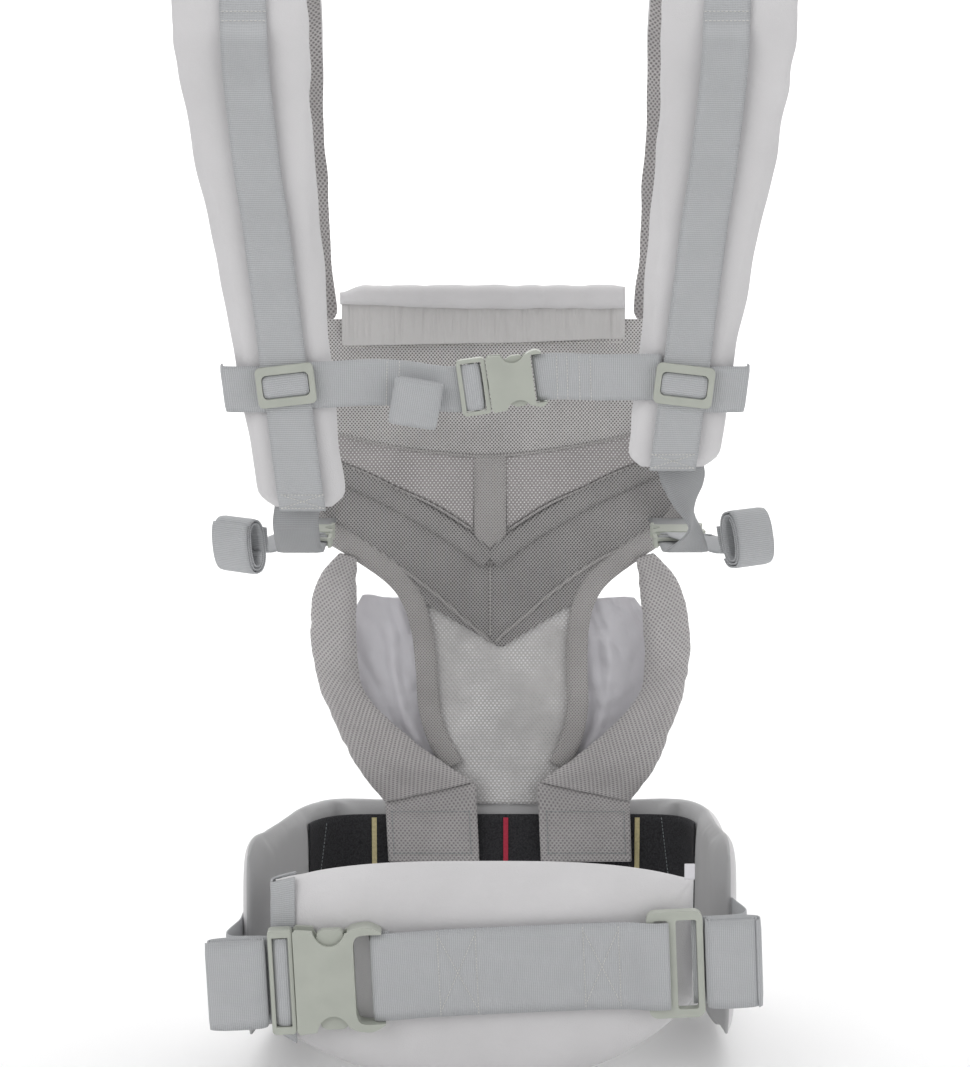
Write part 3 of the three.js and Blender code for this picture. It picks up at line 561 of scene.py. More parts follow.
def makeStitchTree():
    tree = bpy.data.node_groups.new("stitchRun", "GeometryNodeTree")
    face = tree.interface
    face.new_socket("Geometry", in_out="INPUT", socket_type="NodeSocketGeometry")
    spacing = face.new_socket("Spacing", in_out="INPUT", socket_type="NodeSocketFloat")
    length = face.new_socket("Stitch Length", in_out="INPUT", socket_type="NodeSocketFloat")
    radius = face.new_socket("Thread Radius", in_out="INPUT", socket_type="NodeSocketFloat")
    thread = face.new_socket("Thread", in_out="INPUT", socket_type="NodeSocketMaterial")
    face.new_socket("Geometry", in_out="OUTPUT", socket_type="NodeSocketGeometry")
    nodes = tree.nodes
    links = tree.links
    start = nodes.new("NodeGroupInput")
    end = nodes.new("NodeGroupOutput")
    toCurve = nodes.new("GeometryNodeMeshToCurve")
    resample = nodes.new("GeometryNodeResampleCurve")
    resample.mode = "LENGTH"
    instances = nodes.new("GeometryNodeInstanceOnPoints")
    tangent = nodes.new("GeometryNodeInputTangent")
    align = nodes.new("FunctionNodeAlignEulerToVector")
    align.axis = "Z"
    stitch = nodes.new("GeometryNodeMeshCylinder")
    stitch.inputs["Vertices"].default_value = 6
    realize = nodes.new("GeometryNodeRealizeInstances")
    setMaterial = nodes.new("GeometryNodeSetMaterial")
    links.new(start.outputs["Geometry"], toCurve.inputs["Mesh"])
    links.new(toCurve.outputs["Curve"], resample.inputs["Curve"])
    links.new(start.outputs["Spacing"], resample.inputs["Length"])
    links.new(resample.outputs["Curve"], instances.inputs["Points"])
    links.new(tangent.outputs[0], align.inputs["Vector"])
    links.new(align.outputs[0], instances.inputs["Rotation"])
    links.new(start.outputs["Stitch Length"], stitch.inputs["Depth"])
    links.new(start.outputs["Thread Radius"], stitch.inputs["Radius"])
    links.new(stitch.outputs["Mesh"], instances.inputs["Instance"])
    links.new(instances.outputs["Instances"], realize.inputs["Geometry"])
    links.new(realize.outputs["Geometry"], setMaterial.inputs["Geometry"])
    links.new(start.outputs["Thread"], setMaterial.inputs["Material"])
    links.new(setMaterial.outputs["Geometry"], end.inputs["Geometry"])
    return tree, {"spacing": spacing.identifier, "length": length.identifier, "radius": radius.identifier,
                  "thread": thread.identifier}


stitchTree, stitchSockets = makeStitchTree()


def sew(name, cloth, rows, body, spacing, length, radius, thread="whiteThread", count=24):
    # rows of stitches on a cloth, each from one point in mm to another
    verts = []
    edges = []
    for start, end in rows:
        line = layOn(cloth, start, end, count)
        if len(line) < 3:
            continue
        base = len(verts)
        verts += [(p[0] * mm, p[1] * mm, p[2] * mm) for p in line]
        edges += [(base + i, base + i + 1) for i in range(len(line) - 1)]
    mesh = bpy.data.meshes.new(name)
    mesh.from_pydata(verts, edges, [])
    obj = bpy.data.objects.new(name, mesh)
    bpy.context.collection.objects.link(obj)
    mod = obj.modifiers.new("Stitches", "NODES")
    mod.node_group = stitchTree
    mod[stitchSockets["spacing"]] = spacing * mm
    mod[stitchSockets["length"]] = length * mm
    mod[stitchSockets["radius"]] = radius * mm
    mod[stitchSockets["thread"]] = looks[thread]
    applyModifiers(obj)
    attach(obj, body)


def finish(obj, body, slot, *nodes):
    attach(obj, body)
    if nodes:
        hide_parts(*nodes)
    return obj


# ---- shoulder straps ---------------------------------------------------------

strap = {
    "end": {"left": 262.0, "right": 284.0}, "halfLow": 24.5, "halfHigh": 38.0, "farOut": 9.0,
    "halfThick": 6.4, "rows": 118, "lanes": 25, "pressure": 3.0, "cap": 2.2, "pucker": 1.1,
    "farTuck": 9.0,
}


def webX(z):
    c = carrier
    straight = c["strapX"] + (min(z, 420) - c["chestZ"]) * math.tan(math.radians(c["strapLean"]))
    above = max(z - 420, 0)
    return straight + above * 0.15 - above * above / 3000


def strapHalf(z):
    return lerp(strap["halfLow"], strap["halfHigh"], clamp01((z - 262) / 258))


def padMiddle(z, y):
    out = webX(z) + 2 * clamp01((z - 262) / 218)
    top = carrier["strapApex"] - 8
    low = carrier["strapFarEnd"]
    if y > 0:
        out += strap["farOut"] * (1 - (min(z, top) - low) / (top - low))
    return out


def strapProfile(end, distance, count=None, stop=None):
    # the strap's middle line seen from the side, as (y, z), moved outwards by a distance
    c = carrier
    rise = c["strapApex"] - c["strapStraight"]
    points = [(-c["strapMid"], z) for z in np.linspace(end, c["strapStraight"], 30)]
    points += [(-math.cos(a) * c["strapMid"], c["strapStraight"] + math.sin(a) * rise)
               for a in np.linspace(0, math.pi, 70)[1:-1]]
    farEnd = c["strapFarEnd"] - strap["farTuck"]
    points += [(c["strapMid"], z) for z in np.linspace(c["strapStraight"], farEnd, 18)]
    points = np.asarray(points)
    tangent = normalise(np.gradient(points, axis=0))
    normal = np.stack([-tangent[:, 1], tangent[:, 0]], axis=1)
    moved = points + normal * distance
    if stop is not None:
        near = (moved[:, 0] < 0) & (points[:, 1] <= stop)
        moved = moved[near]
    return splinePoints(moved, count or len(moved))


def makeStrapPad(side):
    sign = -1 if side == "left" else 1
    s = strap
    line = strapProfile(s["end"][side], 0.0, s["rows"])
    total = len(line)
    lanes = np.sin(np.linspace(-1, 1, s["lanes"]) * math.pi / 2 * 0.97) / math.sin(math.pi / 2 * 0.97)
    middle = np.zeros((total, s["lanes"], 3))
    half = np.zeros((total, s["lanes"]))
    seed = 3.0 if side == "left" else 11.0
    for i, (y, z) in enumerate(line):
        centre = padMiddle(z, y)
        width = strapHalf(z)
        ends = min(i, total - 1 - i) * 5.6
        round_ = math.sqrt(max(0.0, 1 - (1 - min(ends, 9.0) / 9.0) ** 2))
        width = width - 9.0 * (1 - round_) - 0.5
        for j, lane in enumerate(lanes):
            edge = abs(lane) ** 6
            pucker = s["pucker"] * edge * (wobble(lane * 30, y + z * 0.7, seed, 14) + 0.7
                                           * wobble(lane * 9, z, seed * 2 + y, 34))
            x = sign * (centre + lane * (width + pucker))
            middle[i, j] = (x, y, z)
            crown = max(0.0, 1 - abs(lane) ** 3.2) ** 0.55
            dent = 1 - 0.10 * math.exp(-(lane / 0.28) ** 2)
            soft = 1 + 0.07 * wobble(lane * 22, z, seed * 5 + y, 26)
            half[i, j] = s["halfThick"] * crown * dent * soft * lerp(0.35, 1.0, round_)
    pad = shell(f"strap_pad_{side}", middle, half, ["jersey", "underMesh"], facing=(0, 0, 1), edge=0.6)
    puff(pad, s["pressure"], s["cap"], frames=14)
    return finish(pad, "root", "jersey", f"shoulder_strap_{side}")


shoulderTape = {"top": 533.0, "lie": 1.2}


def makeShoulderTape(side):
    sign = -1 if side == "left" else 1
    c = carrier
    t = shoulderTape
    end = strap["end"][side]
    free = c["strapThick"] / 2 + c["webLift"] + c["webThick"] / 2
    down = c["strapThick"] / 2 + t["lie"]
    high = strapProfile(end, free, 140, stop=t["top"])
    low = strapProfile(end, down, 140, stop=t["top"])
    path = []
    for (hy, hz), (ly, lz) in zip(high, low):
        lift = smoothStep(end + 2, end + 10, hz) * (1 - smoothStep(t["top"] - 22, t["top"] - 6, hz))
        y = lerp(ly, hy, lift)
        z = lerp(lz, hz, lift)
        ripple = 0.35 * wobble(z, side == "left", 2, 30)
        path.append((sign * (webX(z) + ripple), y, z))
    obj = tape(f"strap_tape_{side}", path, (1, 0, 0), c["strapWeb"], cup=-0.25)
    return finish(obj, "root", "webbing", f"shoulder_webbing_{side}")


for side in ("left", "right"):
    makeStrapPad(side)
    makeShoulderTape(side)
print("shoulder straps made")


# ---- lumbar pad and waist belt ---------------------------------------------------

lumbar = {"half": 119.0, "top": 66.0, "drop": 12.0, "bottom": -66.0, "lift": (34.0, 48.0),
          "halfThick": 6.6, "columns": 66, "rows": 34, "pressure": 3.5, "cap": 2.2}


def makeLumbarPad():
    s = lumbar
    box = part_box("lumbar_pad")
    midY = (box[0][1] + box[1][1]) / 2 / mm
    middle = np.zeros((s["rows"], s["columns"], 3))
    half = np.zeros((s["rows"], s["columns"]))
    for i in range(s["rows"]):
        t = math.sin((i / (s["rows"] - 1) - 0.5) * math.pi * 0.98) / math.sin(math.pi * 0.49)
        for j in range(s["columns"]):
            u = math.sin((j / (s["columns"] - 1) - 0.5) * math.pi * 0.96) / math.sin(math.pi * 0.48)
            x = u * (s["half"] - 1)
            high = s["top"] - s["drop"] * abs(u) ** 3
            low = s["bottom"] + s["lift"][0 if u < 0 else 1] * abs(u) ** 2.6
            z = lerp(low, high, (t + 1) / 2)
            edge = (max(0.0, 1 - abs(t) ** 5) * max(0.0, 1 - abs(u) ** 9)) ** 0.5
            middle[i, j] = (x, midY, z)
            half[i, j] = s["halfThick"] * edge * (1 + 0.05 * wobble(x, z, 4, 45))
    pad = shell("back_pad", middle, half, ["jersey"], edge=0.9)
    puff(pad, s["pressure"], s["cap"], frames=14)
    return finish(pad, "root", "jersey", "lumbar_pad")


belt = {"half": 132.0, "backHalf": 141.0, "backY": -86.0, "far": 112.0, "thick": 14.0, "rise": 0.14,
        "bottom": -62.0, "columns": 150, "rows": 26, "pressure": 3.0, "cap": 2.0, "halfThick": 5.6,
        "corner": 46.0}


def beltShift(y):
    s = belt
    return carrier["farShift"] * 0.85 * (y - s["backY"]) / (s["far"] - s["backY"]) + 2


def beltTop(y):
    return carrier["beltTop"] + (belt["far"] - y) * belt["rise"]


def beltLine(inset, count, stop=None):
    # the belt's plan line, moved inwards from its outer face
    s = belt
    back = np.array([-s["backHalf"], s["backY"]])
    a = np.array([-s["half"], 60.0])
    b = np.array([-s["half"] + 6, s["far"]])
    c = np.array([-s["half"] + s["corner"], s["far"]])
    points = [back + (a - back) * t for t in np.linspace(0, 1, 24)]
    for t in np.linspace(0, 1, 14)[1:]:
        points.append(a * (1 - t) ** 2 + 2 * b * t * (1 - t) + c * t * t)
    points += [np.array([x, s["far"]]) for x in np.linspace(c[0], 0, 14)[1:-1]]
    points += [np.array([-p[0], p[1]]) for p in points[::-1]]
    points = np.asarray(points)
    points[:, 0] += np.array([beltShift(y) for y in points[:, 1]])
    tangent = normalise(np.gradient(points, axis=0))
    inward = np.stack([tangent[:, 1], -tangent[:, 0]], axis=1)
    moved = points + inward * inset
    if stop is not None:
        moved = moved[moved[:, 1] > stop]
    return splinePoints(moved, count)


def makeWaistBelt():
    s = belt
    line = beltLine(s["thick"] / 2, s["columns"])
    middle = np.zeros((s["rows"], s["columns"], 3))
    half = np.zeros((s["rows"], s["columns"]))
    for j, (x, y) in enumerate(line):
        ends = min(j, s["columns"] - 1 - j) / 7.0
        round_ = math.sqrt(max(0.0, 1 - (1 - min(ends, 1.0)) ** 2))
        for i in range(s["rows"]):
            t = math.sin((i / (s["rows"] - 1) - 0.5) * math.pi * 0.97) / math.sin(math.pi * 0.485)
            low = s["bottom"] + 18 * (1 - smoothStep(-86, -10, y))
            high = beltTop(y) - 10 * (1 - round_) - 1
            z = lerp(low, high, (t + 1) / 2)
            edge = max(0.0, 1 - abs(t) ** 6) ** 0.5 * lerp(0.25, 1.0, round_)
            crease = 1 + 0.06 * wobble(x, y, z, 30)
            middle[i, j] = (x, y, z)
            half[i, j] = s["halfThick"] * edge * crease
    # the first side takes the darker jersey copy, painted shade on the belt's inner face
    obj = shell("waist_band", middle, half, ["beltInnerShade", "jersey"], facing=(0, 0, 0), edge=0.9)
    cleanNormals(obj)
    puff(obj, s["pressure"], s["cap"], frames=12)
    return finish(obj, "root", "jersey", "waist_belt")


hookStrip = {"inset": 15.2, "thick": 1.2, "below": 11.0, "bottom": -20.0, "stop": 50.0, "columns": 120}


def makeHookStrip():
    s = hookStrip
    line = beltLine(s["inset"], s["columns"], stop=s["stop"])
    rows = 12
    middle = np.zeros((rows, len(line), 3))
    half = np.full((rows, len(line)), s["thick"] / 2)
    for j, (x, y) in enumerate(line):
        for i in range(rows):
            high = beltTop(y) - s["below"]
            z = lerp(s["bottom"], high, i / (rows - 1))
            middle[i, j] = (x, y - 0.35 + 0.25 * wobble(x, z, 9, 25), z)
    obj = shell("hook_tape", middle, half, ["hookTape"], facing=(0, -1, 0), edge=0.4)
    return finish(obj, "root", "hook_tape", "hook_strip")


def makeLumbarSleeve():
    # webbing folded round the pad's left end
    s = lumbar
    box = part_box("lumbar_sleeve_left")
    frontY, backY = box[0][1] / mm, box[1][1] / mm
    outX, inX = box[0][0] / mm, box[1][0] / mm + 0.3
    rows = 60
    path = [(inX, frontY - 0.2), (inX - 4, frontY - 0.3), (outX + 4, frontY), (outX + 1, frontY + 1.6),
            (outX + 0.6, frontY + 5), (outX + 0.6, backY - 5), (outX + 1, backY - 1.6), (outX + 4, backY),
            (inX - 4, backY + 0.3), (inX, backY + 0.2)]
    line = splinePoints(path, 40)
    middle = np.zeros((rows, len(line), 3))
    for i in range(rows):
        t = i / (rows - 1)
        for j, (x, y) in enumerate(line):
            u = x / s["half"]
            high = s["top"] - s["drop"] * abs(u) ** 3 - 1.6
            low = s["bottom"] + s["lift"][0] * abs(u) ** 2.6 + 1.6
            pinch = 3.0 * (max(0.0, 2 * abs(t - 0.5) - 0.86) / 0.14) ** 2
            inward = pinch * (1 if y < (frontY + backY) / 2 else -1)
            middle[i, j] = (x + 0.3 * wobble(x, t * 90, 3, 10), y + inward, lerp(low, high, t))
    obj = shell("lumbar_sleeve_cloth", middle, np.full(middle.shape[:2], 0.6), ["webbing"],
                facing=(0, 0, 0), edge=0.4)
    cleanNormals(obj)
    return finish(obj, "root", "webbing", "lumbar_sleeve_left")


makeLumbarPad()
makeLumbarSleeve()
makeWaistBelt()
makeHookStrip()
print("belt and lumbar pad made")


# ---- body panel, seat and liners ---------------------------------------------------

panel = {
    "half": [(128, 345), (128, 326), (119, 290), (119, 240), (110, 219), (87, 201), (60, 184), (49, 172),
             (28, 159), (2, 142)],
    "columns": 112, "rows": 96, "halfThick": 1.7, "faceY": 98.6, "wrap": 7.0, "bulge": 3.4,
    "seam": [(-88.4, 275.3), (-53.7, 266.6), (-18.3, 262.0), (3.2, 261.1), (28.1, 263.0), (63.5, 269.1),
             (92.0, 276.0)],
    "insetLow": [(-94.0, 261.0), (-72.0, 252.0), (-53.8, 242.6), (-30.0, 231.3), (-7.2, 216.5)],
    "middleX": 3.2, "bandHalf": 9.2, "rollWidth": 12.5, "rollHigh": 3.4,
    "roll": [(-102.0, 258.0), (-80.0, 247.5), (-56.0, 235.5), (-28.0, 219.0), (-8.0, 205.0), (2.0, 196.5)],
    "mainSeam": [(-104.0, 216.0), (-64.5, 199.8), (-34.0, 178.4), (-14.0, 160.5), (3.4, 145.0)],
}


def panelY(x, z):
    # wearer-side surface of the far panel's middle sheet
    s = panel
    u = x - drift(z)
    y = s["faceY"] - s["wrap"] * smoothStep(30, 128, abs(u)) - 0.9 * wobble(x, z, 1, 45)
    high = smoothStep(262, 276, z) * (1 - smoothStep(286, 303, z))
    y -= s["bulge"] * high * (1 - smoothStep(80, 110, abs(u)))
    low = smoothStep(146, 160, z) * (1 - smoothStep(180, 214, z - abs(u) * 0.35))
    y -= 2.2 * low * smoothStep(6, 26, abs(u))
    return y


def boundaryRows(points, count):
    # a half-outline sampled evenly in height
    pts = np.asarray(points, dtype=float)
    zs = np.linspace(pts[0, 1], pts[-1, 1], count)
    return np.interp(zs[::-1], pts[::-1, 1], pts[::-1, 0])[::-1], zs


def farSheet(name, half, columns, rows, mat, lift=0.0, halfThick=1.6, depth=panelY, relief=None):
    widths, zs = boundaryRows(half, rows)
    middle = np.zeros((rows, columns, 3))
    thick = np.zeros((rows, columns))
    for i, (w, z) in enumerate(zip(widths, zs)):
        for j in range(columns):
            u = lerp(-w, w, j / (columns - 1))
            x = u + drift(z)
            y = depth(x, z) - lift - (relief(u, z) if relief else 0)
            middle[i, j] = (x, y, z)
            thick[i, j] = halfThick
    return shell(name, middle, thick, mat if isinstance(mat, list) else [mat], edge=0.4)


def patch(name, lowCurve, highCurve, mat, lift=1.9, halfThick=0.8, columns=60, rows=16, crown=False):
    # cloth between two lines on the panel, proud of it by a lift
    low = splinePoints(lowCurve, columns)
    high = splinePoints(highCurve, columns)
    middle = np.zeros((rows, columns, 3))
    thick = np.zeros((rows, columns))
    for i in range(rows):
        t = i / (rows - 1)
        for j in range(columns):
            x, z = low[j] * (1 - t) + high[j] * t
            middle[i, j] = (x, panelY(x, z) - lift, z)
            thick[i, j] = halfThick * (max(0.0, 1 - abs(2 * t - 1) ** 2.4) ** 0.5 if crown else 1)
    return shell(name, middle, thick, [mat], edge=0.3)


def sideways(points, distance):
    pts = np.asarray(points, dtype=float)
    tangent = normalise(np.gradient(pts, axis=0))
    return pts + np.stack([-tangent[:, 1], tangent[:, 0]], axis=1) * distance


def makeBodyPanel():
    s = panel
    base = farSheet("panel_cloth", s["half"], s["columns"], s["rows"], ["mesh", "jersey"],
                    halfThick=s["halfThick"])
    finish(base, "root", "spacer_mesh", "body_panel")
    middleX, half = s["middleX"], s["bandHalf"]
    leftSeam = [p for p in s["seam"] if p[0] < middleX - half] + [(middleX - half, 261.4)]
    rightSeam = [(middleX + half, 261.4)] + [p for p in s["seam"] if p[0] > middleX + half]

    def mirror(points, shift=0):
        return [(2 * middleX + shift - x, z) for x, z in points][::-1]

    rightLow = mirror(s["insetLow"])
    for name, low, high in (("inset_left", s["insetLow"], leftSeam), ("inset_right", rightLow, rightSeam)):
        piece = patch(name, low, high, "insetMesh", lift=1.5, halfThick=0.7, columns=46, rows=18)
        finish(piece, "root", "spacer_mesh")
    band = patch("centre_band", [(middleX - half, 198), (middleX, 194), (middleX + half, 198)],
                 [(middleX - half, 262), (middleX, 261.5), (middleX + half, 262)], "channelMesh", lift=1.8,
                 columns=12, rows=40)
    finish(band, "root", "spacer_mesh")
    # the padded V: two arms that meet below the centre band
    arm = splinePoints(s["roll"], 40)
    low = sideways(arm, -s["rollWidth"] / 2)
    high = sideways(arm, s["rollWidth"] / 2)
    arms = [patch(f"v_roll_{side}", *lines, "mesh", lift=2.6, halfThick=s["rollHigh"], columns=64, rows=13,
                  crown=True)
            for side, lines in (("left", (low, high)), ("right", (mirror(low), mirror(high))))]
    # seam tubes: raised seams coloured with the darker channel mesh, which is partly painted shade along the
    # seam creases
    for name, line, lift, radius in (
            ("upper_seam", s["seam"], 2.4, 0.9), ("v_seam_left", s["mainSeam"], 2.0, 1.1),
            ("v_seam_right", mirror(s["mainSeam"], 3), 2.0, 1.1),
            ("inset_seam_left", [(x - 1, z - 1) for x, z in s["insetLow"]], 2.6, 0.8),
            ("inset_seam_right", [(x + 1, z - 1) for x, z in rightLow], 2.6, 0.8),
            ("band_seam_left", [(middleX - half, z) for z in (262, 240, 218, 200)], 2.2, 0.6),
            ("band_seam_right", [(middleX + half, z) for z in (262, 240, 218, 200)], 2.2, 0.6),
            ("lower_seam", [(middleX, z) for z in (194, 180, 165, 148)], 2.0, 0.6)):
        path = [(x, panelY(x, z) - lift, z) for x, z in splinePoints(line, 40)]
        finish(rope(f"panel_{name}", path, radius, "channelMesh"), "root", "spacer_mesh")
    for piece in arms:
        finish(piece, "root", "spacer_mesh", "v_support_roll")


seat = {"half": [(55, 178), (52, 150), (52, 104), (46, 80), (30, 58), (22, 41)], "lift": -2.6,
        "channel": [(117, 250), (115.5, 234), (106, 219), (86, 205), (64, 188), (53, 172), (48, 152),
                    (46.5, 128), (46, 104), (41.5, 84), (33, 66)], "channelHalf": 6.6}


def makeSeat():
    s = seat
    base = farSheet("seat_cloth", s["half"], 56, 72, ["seatMesh", "jersey"], lift=s["lift"], halfThick=1.3,
                    relief=lambda u, z: 1.6 * math.exp(-(u / 2.2) ** 2) * 0.6
                    + 0.8 * wobble(u, z, 6, 18))
    finish(base, "root", "spacer_mesh", "seat_panel")
    for side, sign in (("left", -1), ("right", 1)):
        line = [(sign * u + drift(z), z) for u, z in s["channel"]]
        low = sideways(line, -s["channelHalf"] * sign)
        high = sideways(line, s["channelHalf"] * sign)
        piece = patch(f"seat_channel_{side}", low, high, "channelMesh", lift=1.4, halfThick=2.4, columns=110,
                      rows=11, crown=True)
        finish(piece, "root", "spacer_mesh")


liner = {"outer": [(-84, 173), (-97, 150), (-98, 120), (-88, 88), (-62, 60), (-40, 50)],
         "inner": [(-50, 172), (-42, 150), (-40, 120), (-36, 92), (-24, 66), (-18, 50)],
         "y": 104.6, "wave": 5.5, "rows": 60, "columns": 34}


def sideLines(side, s, rows):
    # the outer and inner lines of a piece beside the leg, mirrored about the drifting middle for the right
    lines = [splinePoints([(u + drift(z), z) for u, z in s[name]], rows) for name in ("outer", "inner")]
    if side == "right":
        lines = [np.asarray([(2 * drift(z) - x, z) for x, z in line]) for line in lines]
    return lines


def makeLiner(side):
    s = liner
    rows, columns = s["rows"], s["columns"]
    outer, inner = sideLines(side, s, rows)
    middle = np.zeros((rows, columns, 3))
    seed = 5 if side == "left" else 17
    for i in range(rows):
        for j in range(columns):
            t = j / (columns - 1)
            x, z = outer[i] * (1 - t) + inner[i] * t
            crease = abs(wobble(x * 1.3 + z * 0.5, z * 0.35, seed, 16)) + 0.35 * wobble(x, z, seed * 3, 8)
            tuckX = x - outer[i][0] * 0.45 - inner[i][0] * 0.55
            crease += 0.5 * (math.exp(-(tuckX / 3.0) ** 2) * smoothStep(4, 16, i))
            hem = 1 - smoothStep(0, 6, i)
            y = s["y"] - s["wave"] * crease - 1.2 * hem
            middle[i, j] = (x, y, z + 3.0 * wobble(x, seed, 2, 22) * hem)
    obj = shell(f"liner_cloth_{side}", middle, np.full((rows, columns), 0.5), ["liner"], edge=0.3)
    subdivide(obj)
    return finish(obj, "root", "liner", f"seat_liner_{side}")


makeBodyPanel()
makeSeat()
for side in ("left", "right"):
    makeLiner(side)
print("panel, seat and liners made")


# ---- leg bolsters -------------------------------------------------------------------

bolster = {
    "outer": [(-96, 203), (-108, 190), (-115, 172), (-117, 146), (-113, 118), (-104, 92), (-92, 66),
              (-76, 45)],
    "inner": [(-86, 200), (-86.5, 180), (-87.5, 155), (-87, 131), (-84, 116), (-72, 100), (-48, 78),
              (-21, 57)],
    "y": 88.0, "halfThick": 5.6, "rows": 84, "columns": 21, "pressure": 3.0, "cap": 1.8,
    "tab": {"outer": (-76, -19), "top": 58, "bottom": 6, "y": 90.6, "half": 1.1},
}


def makeBolster(side):
    s = bolster
    outer, inner = sideLines(side, s, s["rows"])
    middle = np.zeros((s["rows"], s["columns"], 3))
    half = np.zeros((s["rows"], s["columns"]))
    seed = 8 if side == "left" else 23
    for i in range(s["rows"]):
        along = i / (s["rows"] - 1)
        ends = smoothStep(0, 0.10, along) * (1 - 0.45 * smoothStep(0.86, 1.0, along))
        for j in range(s["columns"]):
            t = math.sin((j / (s["columns"] - 1) - 0.5) * math.pi * 0.95) / math.sin(math.pi * 0.475)
            share = (t + 1) / 2
            x, z = outer[i] * (1 - share) + inner[i] * share
            pucker = 0.8 * abs(t) ** 5 * wobble(x, z * 2, seed, 12)
            x += pucker * (1 if side == "left" else -1)
            # the outer rim curls towards the wearer's side, the lower end turns in
            y = s["y"] - 2.0 * abs(t) ** 2 * (1 - ends) + 1.5 * wobble(x, z, seed, 40)
            middle[i, j] = (x, y, z)
            crown = max(0.0, 1 - abs(t) ** 2.6) ** 0.6
            seamDent = 1 - 0.22 * math.exp(-((share - 0.34) / 0.05) ** 2) * smoothStep(0.45, 0.55, along)
            half[i, j] = s["halfThick"] * crown * lerp(0.3, 1, ends) * seamDent
    obj = shell(f"leg_pad_{side}", middle, half, ["padMesh"], edge=0.7)
    puff(obj, s["pressure"], s["cap"], frames=12)
    finish(obj, f"leg_{side}", "spacer_mesh", f"leg_bolster_{side}")

    t = s["tab"]
    rows, columns = 24, 26
    middle = np.zeros((rows, columns, 3))
    for i in range(rows):
        z = lerp(t["top"], t["bottom"], i / (rows - 1))
        for j in range(columns):
            u = lerp(t["outer"][0], t["outer"][1], j / (columns - 1))
            top = z - smoothStep(30, 58, z) * (12 * (1 - j / (columns - 1)))
            x = u + drift(top)
            if side == "right":
                x = 2 * drift(top) - x
            middle[i, j] = (x, t["y"] - 1.5 * smoothStep(30, 55, z) + 0.4 * wobble(x, top, seed, 14), top)
    tab = shell(f"leg_tab_cloth_{side}", middle, np.full((rows, columns), t["half"]), ["padMesh"], edge=0.5)
    subdivide(tab)
    finish(tab, f"leg_{side}", "spacer_mesh", f"leg_tab_{side}")


for side in ("left", "right"):
    makeBolster(side)
print("leg bolsters made")


# ---- hood ------------------------------------------------------------------------------

hood = {"half": 86.0, "centre": -1.5, "rollZ": (353.0, 366.0), "rollY": 91.0, "rollHalf": 6.2,
        "bandZ": (330.5, 354.5), "bandY": 92.5}


def makeHood():
    s = hood
    rows, columns = 17, 150
    middle = np.zeros((rows, columns, 3))
    half = np.zeros((rows, columns))
    for i in range(rows):
        t = math.sin((i / (rows - 1) - 0.5) * math.pi * 0.96) / math.sin(math.pi * 0.48)
        for j in range(columns):
            a = 2 * j / (columns - 1) - 1
            x = s["centre"] + a * s["half"]
            lump = wobble(x, 3, 1, 13) + 0.5 * wobble(x, 9, 4, 6)
            low = s["rollZ"][0] - 1.2 + 0.6 * wobble(x, 1, 7, 16) + 2.5 * smoothStep(0.2, 1, -a)
            high = s["rollZ"][1] + 0.9 * lump - 4.5 * smoothStep(0.82, 1.0, -a) - smoothStep(0.9, 1, a)
            z = lerp(low, high, (t + 1) / 2)
            middle[i, j] = (x, s["rollY"] - 1.0 * lump, z)
            ends = max(0.0, 1 - abs(a) ** 26) ** 0.5
            half[i, j] = (s["rollHalf"] + 0.8 * lump) * max(0.0, 1 - t * t) ** 0.5 * lerp(0.4, 1, ends)
    roll = shell("hood_roll_cloth", middle, half, ["jersey"], edge=0.5)
    subdivide(roll)
    finish(roll, "hood", "jersey", "hood_roll")

    rows, columns = 30, 400
    middle = np.zeros((rows, columns, 3))
    for i in range(rows):
        t = i / (rows - 1)
        for j in range(columns):
            a = 2 * j / (columns - 1) - 1
            x = s["centre"] + 0.6 + a * (s["half"] - 0.5)
            bottom = s["bandZ"][0] + 2.8 * smoothStep(0, 1, a) - 1.5 * smoothStep(0, 1, -a)
            z = lerp(s["bandZ"][1], bottom, t)
            pleat = wobble(x * 3.0 + 2.2 * wobble(x, z, 2, 14), z * 0.22, 5, 10)
            fine = wobble(x * 6.0, z * 0.35, 8, 10)
            depth = (1.5 * pleat + 0.7 * fine) * (0.55 + 0.45 * math.sin(math.pi * t))
            belly = 1.6 * math.sin(math.pi * t)
            middle[i, j] = (x, s["bandY"] + 1.2 * t - belly - depth, z)
    band = shell("hood_band_cloth", middle, np.full((rows, columns), 0.5), ["hoodCloth"], edge=0.35)
    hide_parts("hood_band")
    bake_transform(band)


makeHood()
print("hood made")


# ---- tapes of the chest strap, waist and sides --------------------------------------------

rolled = {
    "waist_roll_left": {"centre": (-137, -121.5, -1.2), "a": 16.5, "b": 6.2, "turns": 2.6, "tilt": -2.6,
                        "width": 50, "body": "waist_plug", "start": 0.55},
    "waist_roll_right": {"centre": (137, -121.5, 11.2), "a": 15.5, "b": 6.4, "turns": 2.6, "tilt": -2.6,
                         "width": 50, "body": "root", "start": -0.1},
    "chest_roll": {"centre": (-36.5, -120.6, 322.0), "a": 13.2, "b": 5.6, "turns": 2.4, "tilt": 10.0,
                   "width": 25, "body": "chest_plug", "start": 0.3, "yaw": 8.0},
}


def spiral(a, b, turns, start, step=1.75, square=0.72):
    points = []
    count = int(turns * 26)
    for k in range(count + 1):
        angle = 2 * math.pi * (start + turns * k / count)
        inner = step * turns * k / count
        ca, sa = math.cos(angle), math.sin(angle)
        points.append((math.copysign(abs(ca) ** square, ca) * max(a - inner, 2.0),
                       math.copysign(abs(sa) ** square, sa) * max(b - inner, 0.9)))
    return points


